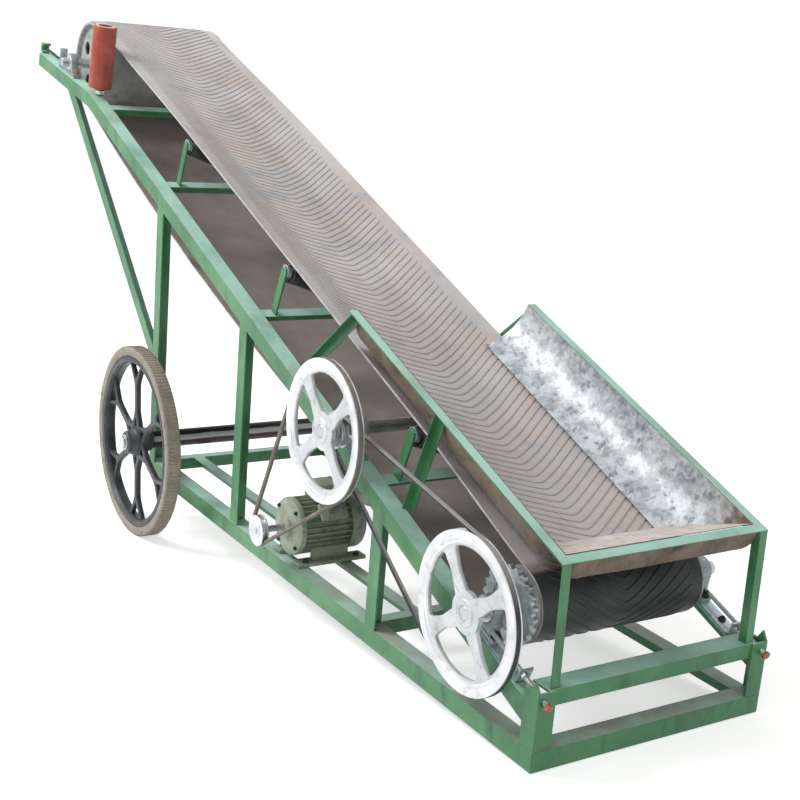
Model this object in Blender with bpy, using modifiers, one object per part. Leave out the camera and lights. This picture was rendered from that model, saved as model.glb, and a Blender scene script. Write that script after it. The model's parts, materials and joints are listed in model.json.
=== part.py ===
"""Mobile inclined belt conveyor: angle iron frame, hopper, two wheels, belt drive.

Metres, +Z up, +X towards the hopper, -Y towards the drive side.
"""
import math

import bmesh
import bpy
from mathutils import Matrix, Vector

# Small clearances: where two pieces touch, and in front of an axle's or shaft's shoulder
SEAT = 0.0003
SHOULDER_GAP = 0.003

# Belt and drums, which set the width of all the rest
BELT_WIDTH = 0.500
BELT_THICKNESS = 0.008
BELT_SAG = 0.095
EDGE_LIFT = 0.018
TROUGH_ANGLE = math.radians(20.0)
CENTRE_WIDTH = 0.205
DRUM_OVERHANG = 0.015
DRUM_WALL = 0.008
DISC_INSET = 0.020
DISC_HOLES = 4
DISC_HOLE_RING = 0.56
DISC_HOLE_SIZE = 0.17
TAIL_DISTANCE = 0.270
TAIL_OUT = 0.059
TAIL_RADIUS = 0.089
HEAD_DISTANCE = 3.475
HEAD_OUT = 0.000
HEAD_RADIUS = 0.160
SHAFT_RADIUS = 0.0175
SHAFT_OVERHANG = 0.020

# Frame of angle iron
DRUM_SIDE_GAP = 0.090
LEG_WIDTH = 0.050
LEG_WALL = 0.005
BRACE_WIDTH = 0.040
BRACE_WALL = 0.004
BASE_LENGTH = 2.270
BASE_TILT = math.radians(4.2)
BASE_LIFT = 0.002
CROSSBAR_GAP = 0.005
GATE_HEIGHT = 0.190
GATE_DEPTH = 0.060
GATE_FRONT_WIDTH = 0.038
GATE_LAP = 0.0165
EAR_LENGTH = 0.030
EAR_HEIGHT = 0.024

# Boom
BOOM_FOOT_X = 0.008
BOOM_GATE_DROP = 0.048
BOOM_SLOPE = math.radians(25.3)
BOOM_LOWER_LENGTH = 3.180
BOOM_KNEE = math.radians(9.3)
BOOM_TIP_LENGTH = 0.640
HEAD_BRACE_DISTANCE = 3.080
HOOK_OUTER_RADIUS = 0.024
HOOK_INNER_RADIUS = 0.013
HOOK_WIDTH = 0.030

# Posts and struts, as distances along the base
FRONT_POST_DISTANCE = 0.700
MIDDLE_POST_INSET = 0.730
REAR_POST_INSET = 0.045
STRUT_LOW_HEIGHT = 0.400
STRUT_TIP_LENGTH = 0.249
TRIM_STOCK = 0.100

# Idlers, as distances up the boom to their shafts
IDLER_DISTANCES = (0.820, 1.630, 2.460)
IDLER_RADIUS = 0.030
WING_ROLL_LENGTH = 0.150
ROLL_GAP = 0.008
ROLL_SHAFT_RADIUS = 0.008
BRACKET_WIDTH = 0.030
BRACKET_WALL = 0.006

# Hopper, in boom distances
HOPPER_LOW_DISTANCE = 0.136
HOPPER_HIGH_DISTANCE = 1.170
HOPPER_LOW_OUT = 0.310
HOPPER_HIGH_OUT = 0.297
HOPPER_LEG_WIDTH = 0.026
HOPPER_LEG_WALL = 0.003
HOPPER_LAP = 0.010
HOPPER_FOOT_BACK = 0.010
HOPPER_MID_DISTANCE = 0.700
HOPPER_STAY_DISTANCE = 1.330
SHEET_WALL = 0.002
SHEET_GAP = 0.0008
SHEET_BELT_LAP = 0.065
SHEET_BELT_GAP = 0.005
SHEET_FRONT_DISTANCE = 0.340
SHEET_TURN = math.radians(75.0)

# Drive
PULLEY_RADIUS = 0.192
PULLEY_WIDTH = 0.022
PULLEY_RAIL_GAP = 0.0274
PULLEY_PLANE_GAP = 0.016
PULLEY_RIM = 0.024
PULLEY_LEDGE = 0.008
PULLEY_SPOKES = 4
PULLEY_SPOKE_WIDTH = 0.030
PULLEY_SPOKE_FLARE = 0.009
PULLEY_WEB = 0.012
PULLEY_HUB_RADIUS = 0.056
PULLEY_BOSS_RADIUS = 0.034
GROOVE_DEPTH = 0.012
LOWER_PULLEY_TURN = math.radians(30.0)
UPPER_PULLEY_TURN = math.radians(37.0)
JACK_DISTANCE = 0.959
JACK_OUT = 0.063
SMALL_PULLEY_RADIUS = 0.050
SMALL_PULLEY_FLANGE = 0.004
MOTOR_PULLEY_RADIUS = 0.045
V_BELT_TOP = 0.013
V_BELT_DEPTH = 0.009
V_BELT_PROUD = 0.0012
RING_RADIUS = 0.098
RING_TEETH = 22
RING_TOOTH_DEPTH = 0.009
RING_WIDTH = 0.014

# Bearings and the screws that set them
BEARING_RADIUS = 0.036
BEARING_WIDTH = 0.034
BEARING_FOOT_LENGTH = 0.130
BEARING_FOOT_THICKNESS = 0.012
TAKEUP_INSET = 0.017
TAKEUP_PLATE_WIDTH = 0.038
TAKEUP_PLATE_WALL = 0.005
TAKEUP_LOW_DISTANCE = 0.095
TAKEUP_SCREW_RADIUS = 0.006
TAKEUP_SCREW_OUT = 0.027
TAKEUP_HEAD_RADIUS = 0.011
TAKEUP_HEAD_LENGTH = 0.008
TAKEUP_HEAD_GAP = 0.008
HEAD_PLATE_LENGTH = 0.120
HEAD_PLATE_HEIGHT = 0.075
HEAD_PLATE_WALL = 0.004
HEAD_SCREW_RADIUS = 0.005
HEAD_SCREW_OUT = 0.022

# Motor
MOTOR_POST_GAP = 0.3295
MOTOR_RADIUS = 0.078
MOTOR_LENGTH = 0.230
MOTOR_REACH = 0.090
MOTOR_AXIS_HEIGHT = 0.101
MOTOR_SHAFT_RADIUS = 0.0095
MOTOR_SHAFT_DEPTH = 0.030
MOTOR_BOSS_RADIUS = 0.035
MOTOR_BOSS_LENGTH = 0.012
MOTOR_SHIELD_LENGTH = 0.022
MOTOR_COWL_LENGTH = 0.052
MOTOR_FOOT_WIDTH = 0.046
MOTOR_FOOT_THICKNESS = 0.012
MOTOR_FOOT_SPREAD = 0.062
MOTOR_LEG_WIDTH = 0.020
MOTOR_BEAM_INSET = 0.186
FIN_COUNT = 16
FIN_HEIGHT = 0.008
FIN_THICKNESS = 0.004
TERMINAL_LENGTH = 0.090
TERMINAL_WIDTH = 0.080
TERMINAL_HEIGHT = 0.050

# Road wheels
WHEEL_INSET = 0.203
WHEEL_RADIUS = 0.325
WHEEL_SIDE_GAP = 0.135
TYRE_WIDTH = 0.050
TYRE_HEIGHT = 0.032
TYRE_CROWN = 0.009
WHEEL_RIM = 0.024
WHEEL_RIM_INSET = 0.004
WHEEL_HUB_RADIUS = 0.046
WHEEL_HUB_LENGTH = 0.090
WHEEL_SPOKES = 6
WHEEL_SPOKE_WIDTH = 0.022
WHEEL_ARM_WIDTH = 0.014
WHEEL_SPOKE_THICKNESS = 0.018
HUB_FORK_RADIUS = 0.105
RIM_FORK_RADIUS = 0.200
RIM_FORK_WIDTH = 0.094
AXLE_RADIUS = 0.030
AXLE_STUB_RADIUS = 0.016
AXLE_END_LENGTH = 0.012
AXLE_PLATE_WALL = 0.010
AXLE_PLATE_WIDTH = 0.090
AXLE_PLATE_INSET = 0.008

# Guide roller, standing on the rail at the boom's knee
GUIDE_LOW_OUT = 0.026
GUIDE_LENGTH = 0.233
GUIDE_RADIUS = 0.044
GUIDE_PIN_RADIUS = 0.012
GUIDE_PIN_DROP = 0.004
GUIDE_COLLAR_RADIUS = 0.020
GUIDE_SIDE_GAP = 0.007
RUN_GAP = 0.006

# Facets of round pieces
FLAT_ANGLE = math.radians(0.05)
WHEEL_STEPS = 28
ROUND_STEPS = 24
SMALL_STEPS = 14
ROLL_STEPS = 12

GREEN = (0.130, 0.330, 0.190, 1.0)
OLIVE = (0.100, 0.130, 0.075, 1.0)
STEEL = (0.550, 0.550, 0.540, 1.0)
BARE_ALUMINIUM = (0.620, 0.630, 0.630, 1.0)
GALVANISED = (0.520, 0.540, 0.560, 1.0)
BLACK = (0.018, 0.018, 0.020, 1.0)
RUBBER = (0.400, 0.370, 0.360, 1.0)
DARK_RUBBER = (0.060, 0.052, 0.048, 1.0)
TYRE_TAN = (0.210, 0.180, 0.150, 1.0)
RED = (0.450, 0.110, 0.070, 1.0)

X_AXIS = Vector((1, 0, 0))
Y_AXIS = Vector((0, 1, 0))
Z_AXIS = Vector((0, 0, 1))
SIDES = (("near", -1), ("far", 1))

# Widths and planes that follow from the sizes above
BOOM_FOOT_Z = GATE_HEIGHT - BOOM_GATE_DROP
DRUM_HALF = BELT_WIDTH / 2 + DRUM_OVERHANG
HALF = DRUM_HALF + DRUM_SIDE_GAP
INNER_REACH = HALF - LEG_WALL - SEAT
FLANGE_MIDDLE = HALF - LEG_WIDTH / 2
HOPPER_INNER = HALF - LEG_WIDTH + HOPPER_LAP - HOPPER_LEG_WIDTH
LOWER_PULLEY_Y = -(HALF + PULLEY_RAIL_GAP + PULLEY_WIDTH / 2)
UPPER_PULLEY_Y = LOWER_PULLEY_Y - PULLEY_WIDTH - PULLEY_PLANE_GAP
RING_Y = -(DRUM_HALF + SEAT + RING_WIDTH / 2)
GUIDE_Y = -(DRUM_HALF + GUIDE_SIDE_GAP + GUIDE_RADIUS)
MOTOR_FRONT_Y = UPPER_PULLEY_Y + MOTOR_REACH
MOTOR_BEAM_Y = MOTOR_FRONT_Y + MOTOR_BEAM_INSET
WHEEL_MIDDLE = HALF + WHEEL_SIDE_GAP - TYRE_WIDTH / 2
RIM_RADIUS = WHEEL_RADIUS - TYRE_HEIGHT
REAR_POST_DISTANCE = BASE_LENGTH - REAR_POST_INSET
MIDDLE_POST_DISTANCE = BASE_LENGTH - MIDDLE_POST_INSET
MOTOR_DISTANCE = MIDDLE_POST_DISTANCE - MOTOR_POST_GAP
CROSSBAR_DISTANCE = FRONT_POST_DISTANCE + LEG_WIDTH / 2 + CROSSBAR_GAP


def clear_scene():
    for item in list(bpy.data.objects):
        bpy.data.objects.remove(item, do_unlink=True)


def new_collection(name):
    collection = bpy.data.collections.new(name)
    bpy.context.scene.collection.children.link(collection)
    return collection


def material(name, colour, roughness, metallic):
    made = bpy.data.materials.get(name) or bpy.data.materials.new(name)
    made.use_nodes = True
    shader = made.node_tree.nodes["Principled BSDF"]
    shader.inputs["Base Color"].default_value = colour
    shader.inputs["Roughness"].default_value = roughness
    shader.inputs["Metallic"].default_value = metallic
    made.diffuse_color = colour
    return made


def unit(angle):
    return Vector((-math.cos(angle), 0, math.sin(angle)))


def square_to(direction):
    return Vector((direction.z, 0, -direction.x))


BASE_DIR = unit(BASE_TILT)
BASE_NORMAL = square_to(BASE_DIR)
BOOM_DIR = unit(BOOM_SLOPE)
BOOM_NORMAL = square_to(BOOM_DIR)
TIP_DIR = unit(BOOM_SLOPE - BOOM_KNEE)
TIP_NORMAL = square_to(TIP_DIR)
BOOM_FOOT = Vector((BOOM_FOOT_X, 0, BOOM_FOOT_Z))


def on_base(back, rise, y=0.0):
    return BASE_DIR * back + BASE_NORMAL * (rise + BASE_LIFT) + Y_AXIS * y


def on_boom(up, out, y=0.0):
    return BOOM_FOOT + BOOM_DIR * up + BOOM_NORMAL * out + Y_AXIS * y


def on_tip(along, out, y=0.0):
    return on_boom(BOOM_LOWER_LENGTH, 0) + TIP_DIR * along + TIP_NORMAL * out + Y_AXIS * y


def tip_place(point):
    """Along and out of a point, measured from the boom's knee."""
    offset = point - on_boom(BOOM_LOWER_LENGTH, 0)
    return offset.dot(TIP_DIR), offset.dot(TIP_NORMAL)


def frame_matrix(centre, x_axis, y_axis):
    z_axis = x_axis.cross(y_axis)
    turn = Matrix((x_axis, y_axis, z_axis)).transposed()
    return Matrix.Translation(centre) @ turn.to_4x4()


def add_object(name, mesh, finish, parent=None):
    made = bpy.data.objects.new(name, mesh)
    PARTS.objects.link(made)
    mesh.materials.clear()
    mesh.materials.append(finish)
    made.parent = parent or ROOT
    return made


def tidy(mesh):
    work = bmesh.new()
    work.from_mesh(mesh)
    bmesh.ops.remove_doubles(work, verts=work.verts, dist=0.00001)
    bmesh.ops.dissolve_degenerate(work, edges=work.edges, dist=0.00001)
    bmesh.ops.recalc_face_normals(work, faces=work.faces)
    work.to_mesh(mesh)
    work.free()
    return mesh


def smooth(mesh):
    mesh.shade_smooth()
    mesh.set_sharp_from_angle(angle=math.radians(35))
    return mesh


def outline_mesh(points, depth, holes=()):
    """Flat outline in its own XY plane, as thick as depth about that plane."""
    curve = bpy.data.curves.new("outline", "CURVE")
    curve.dimensions = "2D"
    curve.fill_mode = "BOTH"
    curve.extrude = depth / 2
    for loop in (points, *holes):
        spline = curve.splines.new("POLY")
        spline.points.add(len(loop) - 1)
        for slot, (x, y) in zip(spline.points, loop):
            slot.co = (x, y, 0, 1)
        spline.use_cyclic_u = True
    drawn = bpy.data.objects.new("outline", curve)
    CUTTERS.objects.link(drawn)
    bpy.context.view_layer.update()
    evaluated = drawn.evaluated_get(bpy.context.evaluated_depsgraph_get())
    mesh = bpy.data.meshes.new_from_object(evaluated)
    bpy.data.objects.remove(drawn, do_unlink=True)
    return tidy(mesh)


def moved(mesh, matrix):
    mesh.transform(matrix)
    if matrix.determinant() < 0:
        mesh.flip_normals()
    return mesh


def upright(mesh, y):
    """Turn a mesh drawn in the XY plane into the XZ plane, at a given y."""
    return tidy(moved(mesh, frame_matrix(Y_AXIS * y, X_AXIS, Z_AXIS)))


def side_plate(outline, y_one, y_two):
    """Plate whose outline is a list of points in the XZ plane."""
    points = [(point.x, point.z) for point in outline]
    return upright(outline_mesh(points, abs(y_two - y_one)), (y_one + y_two) / 2)


def trim(mesh, point, normal):
    """Cut away what lies beyond a plane, and close the cut."""
    work = bmesh.new()
    work.from_mesh(mesh)
    parts = list(work.verts) + list(work.edges) + list(work.faces)
    cut = bmesh.ops.bisect_plane(work, geom=parts, plane_co=point, plane_no=normal, clear_outer=True)
    edges = [item for item in cut["geom_cut"] if isinstance(item, bmesh.types.BMEdge)]
    bmesh.ops.contextual_create(work, geom=edges)
    work.to_mesh(mesh)
    work.free()
    return tidy(mesh)


def angle_mesh(start, end, leg_one, leg_two, size=LEG_WIDTH, wall=LEG_WALL):
    """L bar whose corner runs from start to end."""
    outline = [(0, 0), (size, 0), (size, wall), (wall, wall), (wall, size), (0, size)]
    mesh = outline_mesh(outline, (end - start).length)
    return tidy(moved(mesh, frame_matrix((start + end) / 2, leg_one, leg_two)))


def box_mesh(centre, size, x_axis=X_AXIS, y_axis=Y_AXIS):
    work = bmesh.new()
    bmesh.ops.create_cube(work, size=1.0, matrix=Matrix.Diagonal((*size, 1.0)))
    mesh = bpy.data.meshes.new("box")
    work.to_mesh(mesh)
    work.free()
    return moved(mesh, frame_matrix(centre, x_axis, y_axis))


def rod_mesh(start, end, radius, segments=ROUND_STEPS):
    """Solid round bar between two points."""
    work = bmesh.new()
    bmesh.ops.create_cone(work, cap_ends=True, segments=segments, radius1=radius, radius2=radius,
                          depth=(end - start).length)
    mesh = bpy.data.meshes.new("rod")
    work.to_mesh(mesh)
    work.free()
    turn = (end - start).to_track_quat("Z", "Y").to_matrix().to_4x4()
    return moved(mesh, Matrix.Translation((start + end) / 2) @ turn)


def turned_mesh(profile, steps=ROUND_STEPS):
    """Closed profile of (radius, y) pairs turned about the Y axis, its first point at high y."""
    mesh = bpy.data.meshes.new("profile")
    count = len(profile)
    edges = [(index, (index + 1) % count) for index in range(count)]
    mesh.from_pydata([(radius, y, 0) for radius, y in profile], edges, [])
    drawn = bpy.data.objects.new("profile", mesh)
    CUTTERS.objects.link(drawn)
    screw = drawn.modifiers.new("turn", "SCREW")
    screw.axis = "Y"
    screw.steps = steps
    screw.render_steps = steps
    screw.use_merge_vertices = True
    screw.merge_threshold = 0.00005
    screw.use_normal_calculate = True
    bpy.context.view_layer.update()
    evaluated = drawn.evaluated_get(bpy.context.evaluated_depsgraph_get())
    made = bpy.data.meshes.new_from_object(evaluated)
    bpy.data.objects.remove(drawn, do_unlink=True)
    return tidy(made)


def merged_flats(mesh):
    """Join the flat faces that a cut has split, then divide them into triangles again."""
    work = bmesh.new()
    work.from_mesh(mesh)
    bmesh.ops.remove_doubles(work, verts=work.verts, dist=0.00001)
    bmesh.ops.dissolve_limit(work, angle_limit=FLAT_ANGLE, verts=work.verts, edges=work.edges)
    bmesh.ops.triangulate(work, faces=work.faces)
    work.to_mesh(mesh)
    work.free()
    return mesh


def combined(meshes, operation="UNION", solver="EXACT"):
    """First mesh united with, or cut by, all the others."""
    base = bpy.data.objects.new("base_shape", meshes[0])
    CUTTERS.objects.link(base)
    helpers = []
    for mesh in meshes[1:]:
        helper = bpy.data.objects.new("second_shape", mesh)
        helper.hide_render = True
        helper.display_type = "WIRE"
        CUTTERS.objects.link(helper)
        step = base.modifiers.new("step", "BOOLEAN")
        step.operation = operation
        step.object = helper
        step.solver = solver
        helpers.append(helper)
    bpy.context.view_layer.update()
    evaluated = base.evaluated_get(bpy.context.evaluated_depsgraph_get())
    made = bpy.data.meshes.new_from_object(evaluated)
    for item in (base, *helpers):
        bpy.data.objects.remove(item, do_unlink=True)
    return merged_flats(made)


def axis_empty(name, point):
    """Empty on a joint's axis, turned so that its own Y is the world's Y."""
    empty = bpy.data.objects.new(name, None)
    PARTS.objects.link(empty)
    empty.empty_display_size = SHAFT_RADIUS * 3
    empty.parent = ROOT
    empty.location = point
    return empty


def bore_radius(radius, steps=SMALL_STEPS):
    """Radius of a faceted bore that clears a faceted shaft, whichever way it is turned."""
    return radius / math.cos(math.pi / steps) + SEAT


def flat(point):
    return Vector((point.x, 0, point.z))


def polar(radius, angle):
    """Point of a flat outline at a radius and an angle."""
    return (radius * math.cos(angle), radius * math.sin(angle))


def circle(radius, count, centre=(0.0, 0.0)):
    """Points of a circle in an outline's own plane."""
    points = [polar(radius, math.tau * step / count) for step in range(count)]
    return [(centre[0] + x, centre[1] + y) for x, y in points]


def arc(radius, start, end, count):
    """Points of an arc in an outline's own plane, both ends included."""
    return [polar(radius, start + (end - start) * step / count) for step in range(count + 1)]


def rounded(corners, steps=2):
    """Outline from (point, radius) rows, each corner with a radius drawn as a curve."""
    points = []
    for index, (corner, radius) in enumerate(corners):
        if radius == 0:
            points.append(corner)
            continue
        here = Vector(corner)
        before = Vector(corners[index - 1][0]) - here
        after = Vector(corners[(index + 1) % len(corners)][0]) - here
        reach = radius / math.tan(before.angle(after) / 2)
        reach = min(reach, before.length / 2, after.length / 2)
        start = here + before.normalized() * reach
        end = here + after.normalized() * reach
        for step in range(steps + 1):
            share = step / steps
            point = start * (1 - share) ** 2 + here * 2 * share * (1 - share) + end * share ** 2
            points.append(tuple(point))
    return points


def base_rails():
    for side, sign in SIDES:
        inward = -sign * Y_AXIS
        start = on_base(-LEG_WIDTH, LEG_WIDTH, sign * HALF)
        mesh = angle_mesh(start, on_base(BASE_LENGTH, LEG_WIDTH, sign * HALF), -BASE_NORMAL, inward)
        mitre = (inward - BASE_DIR).normalized()
        trim(mesh, on_base(0, 0, sign * HALF) - mitre * SEAT / 2, mitre)
        add_object(f"base_rail_{side}", mesh, PAINT)


def base_crossbars():
    start = on_base(0, LEG_WIDTH, -HALF)
    front = angle_mesh(start, on_base(0, LEG_WIDTH, HALF), -BASE_NORMAL, BASE_DIR)
    for sign in (-1, 1):
        mitre = (BASE_DIR + Y_AXIS * sign).normalized()
        trim(front, on_base(0, 0, sign * HALF) - mitre * SEAT / 2, mitre)
    add_object("base_crossbar_front", front, PAINT)
    rise = LEG_WIDTH - LEG_WALL - SEAT
    for name, back in (("middle", CROSSBAR_DISTANCE), ("rear", BASE_LENGTH - LEG_WIDTH)):
        start = on_base(back, rise, -INNER_REACH)
        mesh = angle_mesh(start, on_base(back, rise, INNER_REACH), BASE_DIR, -BASE_NORMAL,
                          BRACE_WIDTH, LEG_WALL)
        add_object(f"base_crossbar_{name}", mesh, PAINT)


def motor_beam():
    """Angle along the base that carries the motor's inner feet."""
    rise = LEG_WIDTH - LEG_WALL - SEAT
    start = on_base(CROSSBAR_DISTANCE + BRACE_WIDTH + SEAT, rise, MOTOR_BEAM_Y)
    end = on_base(BASE_LENGTH - LEG_WIDTH - SEAT, rise, MOTOR_BEAM_Y)
    mesh = angle_mesh(start, end, -BASE_NORMAL, -Y_AXIS, BRACE_WIDTH, LEG_WALL)
    add_object("motor_beam", mesh, PAINT)


def takeup_hole(y):
    """Cutter for the take-up screw's way through the gate."""
    low = on_boom(-LEG_WIDTH, TAKEUP_SCREW_OUT, y)
    high = on_boom(TAKEUP_LOW_DISTANCE, TAKEUP_SCREW_OUT, y)
    return rod_mesh(low, high, TAKEUP_SCREW_RADIUS + SEAT * 2, SMALL_STEPS)


def front_gate():
    """Corner posts with their ears, and the crossbar that they carry."""
    foot = LEG_WIDTH + SEAT
    for side, sign in SIDES:
        outer = sign * HALF
        ear = [on_base(0, foot), on_base(LEG_WIDTH, foot), on_base(LEG_WIDTH, GATE_HEIGHT),
               on_base(EAR_LENGTH, GATE_HEIGHT), on_base(EAR_LENGTH / 2, GATE_HEIGHT + EAR_HEIGHT),
               on_base(0, GATE_HEIGHT)]
        front = [on_base(0, foot), on_base(LEG_WALL, foot), on_base(LEG_WALL, GATE_HEIGHT),
                 on_base(0, GATE_HEIGHT)]
        post = combined([side_plate(ear, outer, outer - sign * LEG_WALL),
                         side_plate(front, outer - sign * LEG_WALL / 2, outer - sign * LEG_WIDTH)])
        hole = takeup_hole(sign * (HALF - TAKEUP_INSET))
        add_object(f"corner_post_{side}", combined([post, hole], "DIFFERENCE"), PAINT)
    outline = [(0, 0), (GATE_DEPTH, 0), (GATE_DEPTH, LEG_WALL), (LEG_WALL, LEG_WALL),
               (LEG_WALL, GATE_FRONT_WIDTH), (0, GATE_FRONT_WIDTH)]
    mesh = outline_mesh(outline, 2 * (HALF - LEG_WIDTH + GATE_LAP))
    corner = on_base(LEG_WALL + SEAT, GATE_HEIGHT)
    add_object("upper_crossbar", tidy(moved(mesh, frame_matrix(corner, BASE_DIR, -BASE_NORMAL))), PAINT)


def rope_hook(sign):
    """Hook on the rail's tip, in which the head's take-up screw ends."""
    centre = on_tip(BOOM_TIP_LENGTH - HOOK_OUTER_RADIUS / 4, HOOK_OUTER_RADIUS - LEG_WALL / 2)
    turns = [math.radians(angle) for angle in range(-90, 121, 30)]
    outer = [(HOOK_OUTER_RADIUS, turn) for turn in turns]
    inner = [(HOOK_INNER_RADIUS, turn) for turn in reversed(turns)]
    outline = []
    for radius, turn in outer + inner:
        along, out = polar(radius, turn)
        outline.append(centre + TIP_DIR * along + TIP_NORMAL * out)
    middle = sign * FLANGE_MIDDLE
    return side_plate(outline, middle - HOOK_WIDTH / 2, middle + HOOK_WIDTH / 2)


def boom_rails():
    end = BOOM_TIP_LENGTH
    half_bend = math.tan(BOOM_KNEE / 2)
    top = [on_boom(0, 0), on_boom(BOOM_LOWER_LENGTH, 0), on_tip(end, 0)]
    lower = {}
    for name, depth in (("web", LEG_WIDTH), ("flange", LEG_WALL)):
        knee = on_boom(BOOM_LOWER_LENGTH - depth * half_bend, -depth)
        lower[name] = [on_tip(end, -depth), knee, on_boom(0, -depth)]
    for side, sign in SIDES:
        outer = sign * HALF
        shapes = [side_plate(top + lower["web"], outer, outer - sign * LEG_WALL),
                  side_plate(top + lower["flange"], outer - sign * LEG_WALL / 2, outer - sign * LEG_WIDTH),
                  rope_hook(sign)]
        mesh = combined(shapes, solver="MANIFOLD")
        trim(mesh, on_base(LEG_WIDTH + SEAT, 0), -BASE_DIR)
        add_object(f"boom_rail_{side}", mesh, PAINT)


def cross_brace(distance):
    """Angle between the rails: flat on top, its upright leg at the upper edge."""
    up = distance + BRACE_WIDTH / 2
    out = -LEG_WALL - SEAT
    start = on_boom(up, out, -INNER_REACH)
    return angle_mesh(start, on_boom(up, out, INNER_REACH), -BOOM_DIR, -BOOM_NORMAL,
                      BRACE_WIDTH, BRACE_WALL)


def head_brace():
    add_object("head_brace", cross_brace(HEAD_BRACE_DISTANCE), PAINT)


def posts():
    """Upright angles from the base rails to the underside of the boom rails."""
    rows = (("rear", REAR_POST_DISTANCE), ("middle", MIDDLE_POST_DISTANCE), ("front", FRONT_POST_DISTANCE))
    for name, back in rows:
        corner = back + LEG_WIDTH / 2
        height = corner * math.tan(BOOM_SLOPE) + BOOM_FOOT_Z + TRIM_STOCK
        for side, sign in SIDES:
            foot = on_base(corner, LEG_WIDTH + SEAT, sign * HALF)
            mesh = angle_mesh(foot, foot + BASE_NORMAL * height, -BASE_DIR, -sign * Y_AXIS)
            trim(mesh, on_boom(0, -LEG_WIDTH - SEAT), BOOM_NORMAL)
            add_object(f"{name}_post_{side}", mesh, PAINT)


def struts():
    """Diagonals from the rear posts up to the boom's tip."""
    post_edge = REAR_POST_DISTANCE + LEG_WIDTH / 2
    low = on_base(post_edge, STRUT_LOW_HEIGHT)
    high = on_tip(STRUT_TIP_LENGTH, -LEG_WIDTH)
    along = (high - low).normalized()
    for side, sign in SIDES:
        shift = Y_AXIS * sign * HALF
        mesh = angle_mesh(low - along * TRIM_STOCK + shift, high + along * TRIM_STOCK + shift,
                          square_to(along), -sign * Y_AXIS, BRACE_WIDTH, BRACE_WALL)
        trim(mesh, on_base(post_edge + SEAT, 0), -BASE_DIR)
        trim(mesh, on_boom(0, -LEG_WIDTH - SEAT), BOOM_NORMAL)
        trim(mesh, on_tip(0, -LEG_WIDTH - SEAT), TIP_NORMAL)
        add_object(f"strut_{side}", mesh, PAINT)


def trough_share(up):
    """How far the belt is pressed into its trough, from 0 at a drum to 1 on the idlers."""
    rise = (up - TAIL_DISTANCE) / (IDLER_DISTANCES[0] - TAIL_DISTANCE)
    fall = (HEAD_DISTANCE - up) / (HEAD_DISTANCE - IDLER_DISTANCES[-1])
    share = max(0.0, min(1.0, rise, fall))
    return share * share * (3 - 2 * share)


def belt_edge_out(up):
    """Height of the belt's upper edge line above the boom."""
    low = TAIL_OUT + TAIL_RADIUS + BELT_THICKNESS
    high = HEAD_OUT + HEAD_RADIUS + BELT_THICKNESS
    share = (up - TAIL_DISTANCE) / (HEAD_DISTANCE - TAIL_DISTANCE)
    return low + (high - low) * share + EDGE_LIFT * trough_share(up)


def idler_geometry(up):
    """Knee and outer end of the far half's roller axis, as y and out pairs."""
    drop = (BELT_WIDTH - CENTRE_WIDTH) / 2 * math.tan(TROUGH_ANGLE)
    knee_y = CENTRE_WIDTH / 2 + IDLER_RADIUS * math.tan(TROUGH_ANGLE / 2)
    knee_out = belt_edge_out(up) - drop - BELT_THICKNESS - IDLER_RADIUS - 3 * SEAT
    outer_y = knee_y + WING_ROLL_LENGTH * math.cos(TROUGH_ANGLE)
    outer_out = knee_out + WING_ROLL_LENGTH * math.sin(TROUGH_ANGLE)
    return knee_y, knee_out, outer_y, outer_out


def bracket_mesh(up, low_out, high_out, y):
    """Upright bracket on a cross brace, round at its top."""
    half = BRACKET_WIDTH / 2
    outline = [(-half, low_out), (half, low_out)]
    outline += [(x, y_out + high_out) for x, y_out in arc(half, 0, math.pi, 6)]
    mesh = outline_mesh(outline, BRACKET_WALL)
    return tidy(moved(mesh, frame_matrix(on_boom(up, 0, y), BOOM_DIR, BOOM_NORMAL)))


def idlers():
    """Cross braces with brackets, each with three rollers on a bent shaft."""
    top = -LEG_WALL - SEAT
    for number, up in enumerate(IDLER_DISTANCES, start=1):
        knee_y, knee_out, outer_y, outer_out = idler_geometry(up)
        tip_y = outer_y + BRACKET_WALL
        tip_out = outer_out + BRACKET_WALL * math.tan(TROUGH_ANGLE)
        bracket_y = tip_y + BRACKET_WALL
        shapes = [cross_brace(up)]
        for sign in (-1, 1):
            shapes.append(bracket_mesh(up, top - BRACE_WALL / 2, tip_out, sign * bracket_y))
        add_object(f"idler_frame_{number}", combined(shapes), PAINT)
        knee = [on_boom(up, knee_out, sign * knee_y) for sign in (-1, 1)]
        end = [on_boom(up, outer_out, sign * outer_y) for sign in (-1, 1)]
        tip = [on_boom(up, tip_out, sign * tip_y) for sign in (-1, 1)]
        rollers = [rod_mesh(knee[0] + Y_AXIS * ROLL_GAP, knee[1] - Y_AXIS * ROLL_GAP, IDLER_RADIUS, ROLL_STEPS)]
        for index in (0, 1):
            along = (end[index] - knee[index]).normalized()
            inner = knee[index] + along * (ROLL_GAP + IDLER_RADIUS * math.tan(TROUGH_ANGLE / 2))
            rollers.append(rod_mesh(inner, end[index] - along * ROLL_GAP, IDLER_RADIUS, ROLL_STEPS))
            rollers.append(rod_mesh(knee[index] - along * ROLL_GAP, tip[index], ROLL_SHAFT_RADIUS, 6))
        rollers.append(rod_mesh(knee[0] - Y_AXIS * ROLL_GAP / 2, knee[1] + Y_AXIS * ROLL_GAP / 2,
                                ROLL_SHAFT_RADIUS, 6))
        mesh = combined(rollers)
        for sign in (-1, 1):
            face = on_boom(up, 0, sign * (bracket_y - BRACKET_WALL / 2 - SEAT))
            trim(mesh, face, Y_AXIS * sign)
        add_object(f"idler_rollers_{number}", smooth(mesh), ROLLER_BLACK)


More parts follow.
